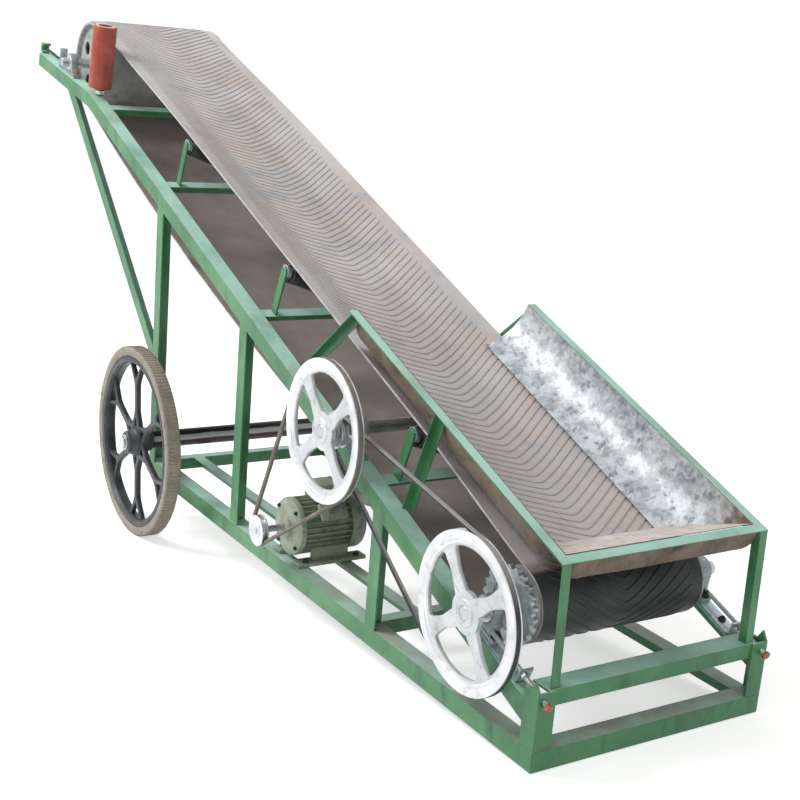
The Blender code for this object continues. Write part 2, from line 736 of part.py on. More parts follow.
def belt_path():
    """Belt centre line as (up, out, trough share) rows, round the loop."""
    half = BELT_THICKNESS / 2
    arc_steps, lower_steps = 10, 9
    stations = (TAIL_DISTANCE, IDLER_DISTANCES[0], IDLER_DISTANCES[-1], HEAD_DISTANCE)
    flat_share = 1 / math.cos(math.pi / 2 / arc_steps)
    tail = (TAIL_RADIUS + SEAT) * flat_share + half
    head = (HEAD_RADIUS + SEAT) * flat_share + half
    rows = []
    upper = [stations[0]]
    for start, end, count in zip(stations, stations[1:], (5, 4, 6)):
        upper += [start + (end - start) * step / count for step in range(1, count + 1)]
    for up in upper:
        share = (up - TAIL_DISTANCE) / (HEAD_DISTANCE - TAIL_DISTANCE)
        out = TAIL_OUT + tail + (HEAD_OUT + head - TAIL_OUT - tail) * share
        rows.append((up, out, trough_share(up)))
    for step in range(1, arc_steps):
        angle = math.pi * step / arc_steps
        rows.append((HEAD_DISTANCE + head * math.sin(angle), HEAD_OUT + head * math.cos(angle), 0.0))
    for step in range(lower_steps + 1):
        share = step / lower_steps
        up = HEAD_DISTANCE + (TAIL_DISTANCE - HEAD_DISTANCE) * share
        chord = HEAD_OUT - head + (TAIL_OUT - tail - HEAD_OUT + head) * share
        rows.append((up, chord - 4 * BELT_SAG * share * (1 - share), 0.0))
    for step in range(1, arc_steps):
        angle = math.pi * step / arc_steps
        rows.append((TAIL_DISTANCE - tail * math.sin(angle), TAIL_OUT - tail * math.cos(angle), 0.0))
    return rows


def belt():
    """One closed loop: troughed above, hanging below, round both drums."""
    knee_y = CENTRE_WIDTH / 2
    half = BELT_WIDTH / 2
    across = [-half, -(half + knee_y) / 2, -knee_y, knee_y, (half + knee_y) / 2, half]
    work = bmesh.new()
    rows = []
    for up, out, share in belt_path():
        line = []
        for y in across:
            drop = min(half - abs(y), half - knee_y) * math.tan(TROUGH_ANGLE) * share
            line.append(work.verts.new(on_boom(up, out + EDGE_LIFT * share - drop, y)))
        rows.append(line)
    for index, line in enumerate(rows):
        after = rows[(index + 1) % len(rows)]
        for column in range(len(across) - 1):
            work.faces.new((line[column], line[column + 1], after[column + 1], after[column]))
    bmesh.ops.recalc_face_normals(work, faces=work.faces)
    mesh = bpy.data.meshes.new("belt")
    work.to_mesh(mesh)
    work.free()
    made = add_object("belt", smooth(mesh), BELT_RUBBER)
    shell = made.modifiers.new("thickness", "SOLIDIFY")
    shell.thickness = BELT_THICKNESS - 2 * SEAT
    shell.offset = 0
    shell.use_even_offset = True


def drum_mesh(radius, shaft_low, shaft_high):
    """Hollow drum about the Y axis: shell, two pierced end discs and a through shaft."""
    inner = radius - DRUM_WALL
    shapes = [turned_mesh([(radius, DRUM_HALF), (radius, -DRUM_HALF), (inner, -DRUM_HALF), (inner, DRUM_HALF)])]
    holes = []
    for index in range(DISC_HOLES):
        centre = polar(radius * DISC_HOLE_RING, math.tau * (index + 0.5) / DISC_HOLES)
        holes.append(circle(radius * DISC_HOLE_SIZE, 8, centre))
    for sign in (-1, 1):
        disc = outline_mesh(circle(inner + DRUM_WALL / 2, ROUND_STEPS), DRUM_WALL, holes)
        place = Y_AXIS * sign * (DRUM_HALF - DISC_INSET)
        shapes.append(moved(disc, frame_matrix(place, X_AXIS, Z_AXIS)))
    shapes.append(rod_mesh(Y_AXIS * shaft_low, Y_AXIS * shaft_high, SHAFT_RADIUS, SMALL_STEPS))
    return smooth(combined(shapes, solver="MANIFOLD"))


def drums():
    reach = HALF + SHAFT_OVERHANG
    tail = drum_mesh(TAIL_RADIUS - SEAT, LOWER_PULLEY_Y - PULLEY_WIDTH / 2, reach)
    add_object("tail_drum", tail, DRUM_STEEL, TAIL_AXIS)
    add_object("head_drum", drum_mesh(HEAD_RADIUS - SEAT, -reach, reach), DRUM_STEEL, HEAD_AXIS)


def toothed_ring():
    """Toothed ring against the tail drum's end, clamped on the same shaft."""
    root = RING_RADIUS - RING_TOOTH_DEPTH
    flank = ((0.0, root), (0.30, root), (0.48, RING_RADIUS), (0.80, RING_RADIUS))
    points = []
    for tooth in range(RING_TEETH):
        for share, radius in flank:
            points.append(polar(radius, math.tau * (tooth + share) / RING_TEETH))
    mesh = outline_mesh(points, RING_WIDTH, [circle(bore_radius(SHAFT_RADIUS), SMALL_STEPS)])
    add_object("toothed_ring", upright(mesh, RING_Y), CAST_STEEL, TAIL_AXIS)


def spoke_window(turn, inner, outer):
    """Opening between two flared spokes of a pulley, from the spoke at turn onwards."""
    waist = (inner + outer) / 2
    half = PULLEY_SPOKE_WIDTH / 2
    flared = half + PULLEY_SPOKE_FLARE
    side = [(inner, flared, 0.016), (waist, half, 0.060), (outer, flared, 0.016)]
    span = math.tau / PULLEY_SPOKES
    corners = [(polar(radius, turn + offset / radius), curve) for radius, offset, curve in side]
    start = turn + flared / outer
    end = turn + span - flared / outer
    corners += [(point, 0) for point in arc(outer, start, end, 5)[1:-1]]
    corners += [(polar(radius, turn + span - offset / radius), curve) for radius, offset, curve in reversed(side)]
    start = turn + span - flared / inner
    end = turn + flared / inner
    corners += [(point, 0) for point in arc(inner, start, end, 3)[1:-1]]
    return rounded(corners, 1)


def spoked_pulley(name, y, turn, parent):
    """Cast pulley: grooved rim with a ledge, pierced web and a boss with a sloped foot."""
    half = PULLEY_WIDTH / 2
    mouth = V_BELT_TOP / 2 + SEAT
    floor = V_BELT_TOP / 4
    web = PULLEY_WEB / 2
    inner = PULLEY_RADIUS - PULLEY_RIM
    rim = turned_mesh([
        (PULLEY_RADIUS, half), (PULLEY_RADIUS, mouth), (PULLEY_RADIUS - GROOVE_DEPTH, floor),
        (PULLEY_RADIUS - GROOVE_DEPTH, -floor), (PULLEY_RADIUS, -mouth), (PULLEY_RADIUS, -half),
        (inner, -half), (inner - PULLEY_LEDGE, -web), (inner - PULLEY_LEDGE, web), (inner, half),
    ])
    bore = bore_radius(SHAFT_RADIUS)
    hub = turned_mesh([(PULLEY_BOSS_RADIUS, half), (PULLEY_HUB_RADIUS, web), (PULLEY_HUB_RADIUS, -web),
                       (PULLEY_BOSS_RADIUS, -half), (bore, -half), (bore, half)], SMALL_STEPS)
    window_outer = inner - PULLEY_LEDGE - web / 2
    holes = [circle(PULLEY_BOSS_RADIUS, SMALL_STEPS)]
    for index in range(PULLEY_SPOKES):
        angle = turn + math.tau * index / PULLEY_SPOKES
        holes.append(spoke_window(angle, PULLEY_HUB_RADIUS - web, window_outer))
    plate = outline_mesh(circle(inner - PULLEY_LEDGE / 2, ROUND_STEPS), PULLEY_WEB - SEAT, holes)
    mesh = combined([rim, upright(plate, 0), hub])
    mesh = moved(mesh, Matrix.Translation(Y_AXIS * y))
    add_object(name, smooth(mesh), ALUMINIUM, parent)


def jackshaft():
    low = UPPER_PULLEY_Y - PULLEY_WIDTH / 2
    mesh = rod_mesh(Y_AXIS * low, Y_AXIS * (HALF + SHAFT_OVERHANG), SHAFT_RADIUS, SMALL_STEPS)
    add_object("jackshaft", smooth(mesh), BRIGHT_STEEL, JACK_AXIS)
    small = small_pulley_mesh(SMALL_PULLEY_RADIUS, LOWER_PULLEY_Y, bore_radius(SHAFT_RADIUS))
    add_object("small_pulley", smooth(small), ALUMINIUM, JACK_AXIS)


def small_pulley_mesh(radius, y, bore):
    mouth = V_BELT_TOP / 2 + SEAT
    half = mouth + SMALL_PULLEY_FLANGE
    floor = V_BELT_TOP / 4
    return turned_mesh([
        (radius, y + half), (radius, y + mouth), (radius - GROOVE_DEPTH, y + floor),
        (radius - GROOVE_DEPTH, y - floor), (radius, y - mouth), (radius, y - half),
        (bore, y - half), (bore, y + half),
    ], SMALL_STEPS)


def pillow_block(point, up_axis, along_axis, seat_drop):
    """Bearing shapes: round housing on a waisted block and a flat foot, and the bore's cutter."""
    half = Y_AXIS * BEARING_WIDTH / 2
    foot_top = seat_drop - BEARING_FOOT_THICKNESS
    housing = rod_mesh(point - half, point + half, BEARING_RADIUS, SMALL_STEPS)
    block = box_mesh(point - up_axis * (foot_top + SEAT) / 2,
                     (BEARING_RADIUS * 2, BEARING_WIDTH, foot_top + SEAT), along_axis, Y_AXIS)
    foot = box_mesh(point - up_axis * (seat_drop - BEARING_FOOT_THICKNESS / 2),
                    (BEARING_FOOT_LENGTH, BEARING_WIDTH, BEARING_FOOT_THICKNESS), along_axis, Y_AXIS)
    bore = rod_mesh(point - half * 2, point + half * 2, bore_radius(SHAFT_RADIUS), SMALL_STEPS)
    return [housing, block, foot], bore


def rail_bearings():
    """Tail bearings on their take-up plates, and jackshaft bearings on the rails."""
    deck = TAKEUP_PLATE_WALL + SEAT
    rows = (("tail", TAIL_DISTANCE, TAIL_OUT, deck), ("jack", JACK_DISTANCE, JACK_OUT, 0.0))
    for name, up, out, seat in rows:
        for side, sign in SIDES:
            point = on_boom(up, out, sign * FLANGE_MIDDLE)
            shapes, bore = pillow_block(point, BOOM_NORMAL, -BOOM_DIR, out - seat - SEAT)
            mesh = combined([combined(shapes), bore], "DIFFERENCE")
            add_object(f"{name}_bearing_{side}", smooth(mesh), BEARING_GREY)


def tail_takeups():
    """Plates on the rails under the tail bearings, each with its tab and screw."""
    high = TAIL_DISTANCE + BEARING_FOOT_LENGTH / 2
    for side, sign in SIDES:
        length = high - TAKEUP_LOW_DISTANCE
        plate = box_mesh(on_boom(TAKEUP_LOW_DISTANCE + length / 2, SEAT + TAKEUP_PLATE_WALL / 2, sign * FLANGE_MIDDLE),
                         (length, TAKEUP_PLATE_WIDTH, TAKEUP_PLATE_WALL), -BOOM_DIR, Y_AXIS)
        tab_height = TAKEUP_SCREW_OUT + TAKEUP_HEAD_RADIUS
        tab = box_mesh(on_boom(TAKEUP_LOW_DISTANCE + TAKEUP_PLATE_WALL / 2, SEAT + tab_height / 2, sign * FLANGE_MIDDLE),
                       (TAKEUP_PLATE_WALL, TAKEUP_PLATE_WIDTH, tab_height), -BOOM_DIR, Y_AXIS)
        y = sign * (HALF - TAKEUP_INSET)
        # Head in front of the corner post's front leg
        front = on_boom(0, TAKEUP_SCREW_OUT).dot(BASE_DIR) / BOOM_DIR.dot(BASE_DIR)
        face = -front - TAKEUP_HEAD_GAP
        screw = rod_mesh(on_boom(face - TAKEUP_HEAD_LENGTH / 2, TAKEUP_SCREW_OUT, y),
                         on_boom(TAIL_DISTANCE - BEARING_RADIUS - SEAT, TAKEUP_SCREW_OUT, y),
                         TAKEUP_SCREW_RADIUS, 10)
        head = rod_mesh(on_boom(face - TAKEUP_HEAD_LENGTH, TAKEUP_SCREW_OUT, y),
                        on_boom(face, TAKEUP_SCREW_OUT, y), TAKEUP_HEAD_RADIUS, 6)
        add_object(f"tail_takeup_{side}", combined([plate, tab, screw, head]), ZINC)


def head_bearings():
    """Head bearings on plates on the rails' tips, with the end plate and screw that set them."""
    along, out = tip_place(on_boom(HEAD_DISTANCE, HEAD_OUT))
    seat = HEAD_PLATE_WALL + SEAT
    for side, sign in SIDES:
        y = sign * FLANGE_MIDDLE
        shapes, bore = pillow_block(on_tip(along, out, y), TIP_NORMAL, -TIP_DIR, out - seat)
        low = along - BEARING_FOOT_LENGTH / 2
        high = along + HEAD_PLATE_LENGTH
        shapes.append(box_mesh(on_tip((low + high) / 2, SEAT + seat / 2, y),
                               (high - low, BEARING_WIDTH, seat), -TIP_DIR, Y_AXIS))
        shapes.append(box_mesh(on_tip(high - HEAD_PLATE_WALL / 2, SEAT + HEAD_PLATE_HEIGHT / 2, y),
                               (HEAD_PLATE_WALL, BEARING_WIDTH, HEAD_PLATE_HEIGHT), -TIP_DIR, Y_AXIS))
        screw_end = BOOM_TIP_LENGTH - HOOK_OUTER_RADIUS / 4
        shapes.append(rod_mesh(on_tip(along + BEARING_RADIUS / 2, HEAD_SCREW_OUT, y),
                               on_tip(screw_end, HEAD_SCREW_OUT, y), HEAD_SCREW_RADIUS, 10))
        mesh = combined([combined(shapes), bore], "DIFFERENCE")
        add_object(f"head_bearing_{side}", smooth(mesh), BEARING_GREY)


def v_belt_mesh(centre_one, radius_one, centre_two, radius_two, y):
    """V-belt loop round two pulleys, as a swept trapezium."""
    arm = centre_two - centre_one
    facing = math.atan2(arm.z, arm.x)
    spread = math.acos((radius_one - radius_two) / arm.length)
    steps = 12
    stations = []
    for step in range(steps + 1):
        stations.append((centre_one, radius_one, facing + spread + (math.tau - 2 * spread) * step / steps))
    for step in range(steps + 1):
        stations.append((centre_two, radius_two, facing - spread + 2 * spread * step / steps))
    bottom = V_BELT_TOP * 0.62
    section = ((0, V_BELT_TOP), (0, -V_BELT_TOP), (V_BELT_DEPTH, -bottom), (V_BELT_DEPTH, bottom))
    work = bmesh.new()
    rings = []
    for centre, radius, angle in stations:
        out = Vector((math.cos(angle), 0, math.sin(angle)))
        # Widened so that the flats between stations still clear the pulley
        reach = radius + (V_BELT_PROUD if radius > 2 * SMALL_PULLEY_RADIUS else 0)
        rings.append([work.verts.new(centre + out * (reach - depth) + Y_AXIS * (y + width / 2))
                      for depth, width in section])
    for index, ring in enumerate(rings):
        after = rings[(index + 1) % len(rings)]
        for corner in range(4):
            other = (corner + 1) % 4
            work.faces.new((ring[corner], ring[other], after[other], after[corner]))
    bmesh.ops.recalc_face_normals(work, faces=work.faces)
    mesh = bpy.data.meshes.new("v_belt")
    work.to_mesh(mesh)
    work.free()
    return smooth(tidy(mesh))


def v_belts():
    jack = flat(on_boom(JACK_DISTANCE, JACK_OUT))
    tail = flat(on_boom(TAIL_DISTANCE, TAIL_OUT))
    big = PULLEY_RADIUS + V_BELT_PROUD
    rows = (
        ("v_belt_motor", MOTOR_CENTRE, MOTOR_PULLEY_RADIUS + V_BELT_PROUD, jack, big, UPPER_PULLEY_Y),
        ("v_belt_drive", jack, SMALL_PULLEY_RADIUS + V_BELT_PROUD, tail, big, LOWER_PULLEY_Y),
    )
    for name, centre_one, radius_one, centre_two, radius_two, y in rows:
        mesh = v_belt_mesh(centre_one, radius_one, centre_two, radius_two, y)
        add_object(name, mesh, V_BELT_RUBBER)


def motor():
    """Finned motor lying across the base, with its terminal box and feet."""
    front = flat(MOTOR_CENTRE) + Y_AXIS * MOTOR_FRONT_Y
    back = front + Y_AXIS * MOTOR_LENGTH
    middle = (front + back) / 2
    fins = []
    for index in range(FIN_COUNT):
        angle = math.tau * (index + 0.5) / FIN_COUNT
        half = FIN_THICKNESS / 2
        tip = MOTOR_RADIUS + FIN_HEIGHT
        fins += [polar(MOTOR_RADIUS, angle - half / MOTOR_RADIUS), polar(tip, angle - half / tip),
                 polar(tip, angle + half / tip), polar(MOTOR_RADIUS, angle + half / MOTOR_RADIUS)]
    body_length = MOTOR_LENGTH - MOTOR_SHIELD_LENGTH - MOTOR_COWL_LENGTH + SEAT * 2
    body = upright(outline_mesh(fins, body_length), 0)
    shift = front + Y_AXIS * (MOTOR_SHIELD_LENGTH - SEAT + body_length / 2)
    shapes = [moved(body, Matrix.Translation(shift))]
    boss = front - Y_AXIS * MOTOR_BOSS_LENGTH
    shield = MOTOR_RADIUS + FIN_HEIGHT
    shapes.append(rod_mesh(boss, front + Y_AXIS * SHOULDER_GAP, MOTOR_BOSS_RADIUS, SMALL_STEPS))
    shapes.append(rod_mesh(front, front + Y_AXIS * MOTOR_SHIELD_LENGTH, shield))
    shapes.append(rod_mesh(back - Y_AXIS * MOTOR_COWL_LENGTH, back, shield))
    box_rise = MOTOR_RADIUS + TERMINAL_HEIGHT / 2 - SHOULDER_GAP
    shapes.append(box_mesh(middle + BASE_NORMAL * box_rise, (TERMINAL_WIDTH, TERMINAL_LENGTH, TERMINAL_HEIGHT),
                           -BASE_DIR, Y_AXIS))
    foot_drop = MOTOR_AXIS_HEIGHT - MOTOR_FOOT_THICKNESS / 2
    for sign in (-1, 1):
        aside = BASE_DIR * sign * MOTOR_FOOT_SPREAD
        shapes.append(box_mesh(middle - BASE_NORMAL * foot_drop + aside,
                               (MOTOR_FOOT_WIDTH, MOTOR_LENGTH - SHOULDER_GAP, MOTOR_FOOT_THICKNESS),
                               -BASE_DIR, Y_AXIS))
        leg_drop = foot_drop - MOTOR_FOOT_THICKNESS / 2
        shapes.append(box_mesh(middle - BASE_NORMAL * (leg_drop - leg_drop / 4) + aside - BASE_DIR * sign * SHOULDER_GAP,
                               (MOTOR_LEG_WIDTH, MOTOR_LENGTH - 2 * MOTOR_COWL_LENGTH, leg_drop / 2 + SHOULDER_GAP),
                               -BASE_DIR, Y_AXIS))
    mesh = combined(shapes)
    socket = rod_mesh(boss - Y_AXIS * SHOULDER_GAP, front + Y_AXIS * MOTOR_SHAFT_DEPTH,
                      bore_radius(MOTOR_SHAFT_RADIUS), SMALL_STEPS)
    add_object("motor", smooth(combined([mesh, socket], "DIFFERENCE")), MOTOR_PAINT)


def motor_pulley():
    shaft_end = Y_AXIS * (UPPER_PULLEY_Y - PULLEY_WIDTH / 2 - SHOULDER_GAP)
    shaft = rod_mesh(shaft_end, Y_AXIS * (MOTOR_FRONT_Y + MOTOR_SHAFT_DEPTH - SHOULDER_GAP),
                     MOTOR_SHAFT_RADIUS, SMALL_STEPS)
    pulley = small_pulley_mesh(MOTOR_PULLEY_RADIUS, UPPER_PULLEY_Y, MOTOR_SHAFT_RADIUS - SEAT)
    add_object("motor_pulley", smooth(combined([pulley, shaft])), CAST_STEEL, MOTOR_AXIS)


def wheel_windows(rim_inner):
    """Openings of a wheel whose spokes fork both towards the hub and towards the rim."""
    spoke = WHEEL_SPOKE_WIDTH / 2
    arm = WHEEL_ARM_WIDTH
    span = math.tau / WHEEL_SPOKES
    fork = RIM_FORK_WIDTH / 2
    hub = WHEEL_HUB_RADIUS + arm / 4
    holes = []
    for index in range(WHEEL_SPOKES):
        turn = span * (index + 0.5)
        side = [(HUB_FORK_RADIUS, spoke, 0.020), (RIM_FORK_RADIUS, spoke, 0.040),
                (rim_inner, fork + arm / 2, 0.006)]
        corners = [(polar(hub + arm, turn + span / 2), 0)]
        corners[0:0] = [(polar(radius, turn + span - offset / radius), curve)
                        for radius, offset, curve in reversed(side)]
        corners += [(polar(radius, turn + offset / radius), curve) for radius, offset, curve in side]
        edge = (fork + arm / 2) / rim_inner
        corners.append((polar(rim_inner, turn + span / 2), 0))
        holes.append(rounded(corners, 1))
        hub_edge = span / 2 - arm / hub
        holes.append([polar(HUB_FORK_RADIUS - arm, turn), polar(hub, turn + hub_edge),
                      polar(hub, turn - hub_edge)])
        inner_edge = (fork - arm / 2) / rim_inner
        holes.append([polar(RIM_FORK_RADIUS + arm, turn), polar(rim_inner, turn - inner_edge),
                      polar(rim_inner, turn), polar(rim_inner, turn + inner_edge)])
    return holes


def wheels():
    """Cast spoked wheels and their tyres, each on the axle's end."""
    rim_inner = RIM_RADIUS - WHEEL_RIM
    half = TYRE_WIDTH / 2
    edge = half - WHEEL_RIM_INSET
    bore = bore_radius(AXLE_STUB_RADIUS)
    hub_end = WHEEL_HUB_LENGTH / 2
    hub_foot = hub_end / 2
    web = WHEEL_SPOKE_THICKNESS / 2
    for side, sign in SIDES:
        shift = Matrix.Translation(Y_AXIS * sign * WHEEL_MIDDLE)
        tyre = turned_mesh([
            (WHEEL_RADIUS - TYRE_CROWN / 2, half), (WHEEL_RADIUS, half - TYRE_CROWN),
            (WHEEL_RADIUS, TYRE_CROWN - half), (WHEEL_RADIUS - TYRE_CROWN / 2, -half),
            (RIM_RADIUS + SEAT, -half), (RIM_RADIUS + SEAT, half),
        ], WHEEL_STEPS)
        add_object(f"tyre_{side}", smooth(moved(tyre, shift)), TYRE_RUBBER, WHEEL_AXES[side])
        rim = turned_mesh([(RIM_RADIUS, edge), (RIM_RADIUS, -edge), (rim_inner, -edge), (rim_inner, edge)], WHEEL_STEPS)
        hub = turned_mesh([
            (WHEEL_HUB_RADIUS * 0.8, hub_end), (WHEEL_HUB_RADIUS, hub_foot), (WHEEL_HUB_RADIUS, -hub_foot),
            (WHEEL_HUB_RADIUS * 0.8, -hub_end), (bore, -hub_end), (bore, hub_end),
        ], SMALL_STEPS)
        holes = [circle((WHEEL_HUB_RADIUS + bore) / 2, SMALL_STEPS)] + wheel_windows(rim_inner + SEAT)
        plate = outline_mesh(circle(rim_inner + WHEEL_RIM / 2, WHEEL_STEPS), 2 * web, holes)
        mesh = combined([rim, upright(plate, 0), hub])
        add_object(f"wheel_{side}", smooth(moved(mesh, shift)), CAST_BLACK, WHEEL_AXES[side])


def axle():
    inner = WHEEL_MIDDLE - WHEEL_HUB_LENGTH / 2 - SHOULDER_GAP
    outer = WHEEL_MIDDLE + WHEEL_HUB_LENGTH / 2 + AXLE_END_LENGTH
    tube = rod_mesh(Y_AXIS * -inner, Y_AXIS * inner, AXLE_RADIUS)
    stub = rod_mesh(Y_AXIS * -outer, Y_AXIS * outer, AXLE_STUB_RADIUS, SMALL_STEPS)
    mesh = moved(combined([tube, stub]), Matrix.Translation(WHEEL_CENTRE))
    add_object("axle", smooth(mesh), AXLE_DARK)


def axle_brackets():
    """Plates that stand on the base rails and clamp the axle."""
    half = AXLE_PLATE_WIDTH / 2
    foot = on_base(WHEEL_DISTANCE, LEG_WIDTH + SEAT)
    shoulder = BASE_NORMAL * half * 0.9
    outline = [
        foot + BASE_DIR * half, foot - BASE_DIR * half, WHEEL_CENTRE - BASE_DIR * half,
        WHEEL_CENTRE - BASE_DIR * half * 0.6 + shoulder, WHEEL_CENTRE + BASE_DIR * half * 0.6 + shoulder,
        WHEEL_CENTRE + BASE_DIR * half,
    ]
    for side, sign in SIDES:
        outer = sign * (HALF - AXLE_PLATE_INSET)
        plate = side_plate(outline, outer, outer - sign * AXLE_PLATE_WALL)
        bore = rod_mesh(WHEEL_CENTRE - Y_AXIS * FRAME_REACH, WHEEL_CENTRE + Y_AXIS * FRAME_REACH,
                        bore_radius(AXLE_RADIUS, ROUND_STEPS))
        add_object(f"axle_bracket_{side}", combined([plate, bore], "DIFFERENCE"), PAINT)


def guide_roller():
    """Roller that stands on the near rail and keeps the belt's edge on the head drum."""
    end = Z_AXIS * GUIDE_LENGTH
    roller = rod_mesh(Vector(), end, GUIDE_RADIUS)
    bore = rod_mesh(-Z_AXIS * RUN_GAP, end + Z_AXIS * RUN_GAP, bore_radius(GUIDE_PIN_RADIUS), SMALL_STEPS)
    mesh = combined([roller, bore], "DIFFERENCE")
    add_object("guide_roller", smooth(mesh), ROLLER_RED, GUIDE_AXIS)
    floor = on_tip(0, SEAT, GUIDE_Y)
    collar_end = on_tip(0, GUIDE_LOW_OUT - RUN_GAP, GUIDE_Y)
    pin_end = on_tip(0, GUIDE_LOW_OUT + GUIDE_LENGTH - GUIDE_PIN_DROP, GUIDE_Y)
    pin = combined([rod_mesh(floor - TIP_NORMAL * RUN_GAP, pin_end, GUIDE_PIN_RADIUS, SMALL_STEPS),
                    rod_mesh(floor - TIP_NORMAL * RUN_GAP, collar_end, GUIDE_COLLAR_RADIUS, SMALL_STEPS)])
    trim(pin, floor, -TIP_NORMAL)
    trim(pin, on_boom(0, SEAT), -BOOM_NORMAL)
    add_object("guide_pin", smooth(pin), BRIGHT_STEEL)


def hopper_out(up):
    """Height of the hopper's side bars above the boom."""
    share = (up - HOPPER_LOW_DISTANCE) / (HOPPER_HIGH_DISTANCE - HOPPER_LOW_DISTANCE)
    return HOPPER_LOW_OUT + (HOPPER_HIGH_OUT - HOPPER_LOW_OUT) * share


def hopper_frame():
    """Two side angles, a front angle, and the posts and stays that carry them."""
    size, wall = HOPPER_LEG_WIDTH, HOPPER_LEG_WALL
    low = on_boom(HOPPER_LOW_DISTANCE, HOPPER_LOW_OUT)
    high = on_boom(HOPPER_HIGH_DISTANCE, HOPPER_HIGH_OUT)
    bar_dir = (high - low).normalized()
    bar_normal = square_to(bar_dir)
    inset = wall / 4
    front = low + bar_dir * size
    bar_reach = Y_AXIS * (HOPPER_INNER + wall)
    shapes = [angle_mesh(front - bar_reach, front + bar_reach, -bar_normal, -bar_dir, size, wall)]
    foot = on_base(HOPPER_FOOT_BACK, GATE_HEIGHT)
    upright_dir = (low - foot).normalized()
    back_dir = -square_to(upright_dir)
    under = low - bar_normal * wall / 2
    for sign in (-1, 1):
        outward = sign * Y_AXIS
        inner = outward * HOPPER_INNER
        shapes.append(angle_mesh(low + inner, high + inner, -bar_normal, outward, size, wall))
        start = outward * (HOPPER_INNER + inset) + back_dir * inset
        post = angle_mesh(foot - upright_dir * size + start, low + upright_dir * size + start,
                          back_dir, outward, size - 2 * inset, wall)
        trim(post, on_base(0, GATE_HEIGHT + SEAT), -BASE_NORMAL)
        trim(post, under, bar_normal)
        shapes.append(post)
        stay_y = outward * (HOPPER_INNER + inset)
        mid = angle_mesh(on_boom(HOPPER_MID_DISTANCE, -size) + stay_y, on_boom(HOPPER_MID_DISTANCE, HOPPER_LOW_OUT) + stay_y,
                         -BOOM_DIR, outward, size - 2 * inset, wall)
        trim(mid, on_boom(0, SEAT), -BOOM_NORMAL)
        trim(mid, under, bar_normal)
        shapes.append(mid)
        stay_low = on_boom(HOPPER_STAY_DISTANCE, 0) + stay_y
        stay_high = high - bar_dir * size / 2 - bar_normal * wall + stay_y
        along = (stay_high - stay_low).normalized()
        stay = angle_mesh(stay_low - along * size, stay_high + along * size, square_to(along), outward,
                          size - 2 * inset, wall)
        trim(stay, on_boom(0, SEAT), -BOOM_NORMAL)
        trim(stay, under, bar_normal)
        shapes.append(stay)
    add_object("hopper_frame", combined(shapes, solver="MANIFOLD"), PAINT)


def hopper_profile():
    """Rows of a side sheet from its top edge to the belt, as (share down, y, out share)."""
    top_y = HOPPER_INNER - SEAT - SHEET_WALL / 2
    low_y = BELT_WIDTH / 2 - SHEET_BELT_LAP
    steps = 6
    rows = []
    for step in range(steps + 1):
        angle = SHEET_TURN * step / steps
        inward = (1 - math.cos(angle)) / (1 - math.cos(SHEET_TURN))
        down = math.sin(angle) / math.sin(SHEET_TURN)
        rows.append((down, top_y + (low_y - top_y) * inward))
    return rows


def sheet_object(name, lines):
    """Thin sheet through rows of points."""
    work = bmesh.new()
    rows = [[work.verts.new(point) for point in line] for line in lines]
    for line, after in zip(rows, rows[1:]):
        for column in range(len(line) - 1):
            work.faces.new((line[column], line[column + 1], after[column + 1], after[column]))
    mesh = bpy.data.meshes.new(name)
    work.to_mesh(mesh)
    work.free()
    made = add_object(name, mesh, GALVANISED_SHEET)
    shell = made.modifiers.new("thickness", "SOLIDIFY")
    shell.thickness = SHEET_WALL
    shell.offset = 0


def hopper_sheets():
    """Curved side sheets down to the belt, and the sloping front sheet between them."""
    low_out = belt_edge_out(SHEET_FRONT_DISTANCE) + SHEET_BELT_GAP
    bar_inner = HOPPER_LOW_DISTANCE + HOPPER_LEG_WIDTH + SEAT + SHEET_WALL
    high = HOPPER_HIGH_DISTANCE
    profile = hopper_profile()
    front_lines = []
    side_lines = {"near": [], "far": []}
    for down, y in profile:
        front_up = bar_inner + (SHEET_FRONT_DISTANCE - bar_inner) * down
        out_low = hopper_out(front_up)
        out_high = hopper_out(high)
        front_out = out_low + (low_out - out_low) * down
        rear_out = out_high + (low_out - out_high) * down
        width = y - SHEET_WALL - SHEET_GAP
        front_lines.append([on_boom(front_up, front_out, -width), on_boom(front_up, front_out, width)])
        for side, sign in SIDES:
            side_lines[side].append([on_boom(front_up, front_out, sign * y), on_boom(high, rear_out, sign * y)])
    for side, sign in SIDES:
        sheet_object(f"hopper_side_{side}", side_lines[side])
    sheet_object("hopper_front_sheet", front_lines)


def stand_on_floor():
    """Put the whole model's lowest middle point at the origin."""
    bpy.context.view_layer.update()
    graph = bpy.context.evaluated_depsgraph_get()
    low = Vector((math.inf, math.inf, math.inf))
    high = -low
    for item in PARTS.objects:
        if item.type != "MESH":
            continue
        evaluated = item.evaluated_get(graph)
        for vertex in evaluated.data.vertices:
            place = item.matrix_world @ vertex.co
            low = Vector(map(min, low, place))
            high = Vector(map(max, high, place))
    ROOT.location = (-(low.x + high.x) / 2, -(low.y + high.y) / 2, -low.z)


clear_scene()
PARTS = new_collection("belt_conveyor")
CUTTERS = new_collection("cutters")
ROOT = bpy.data.objects.new("conveyor_origin", None)
PARTS.objects.link(ROOT)

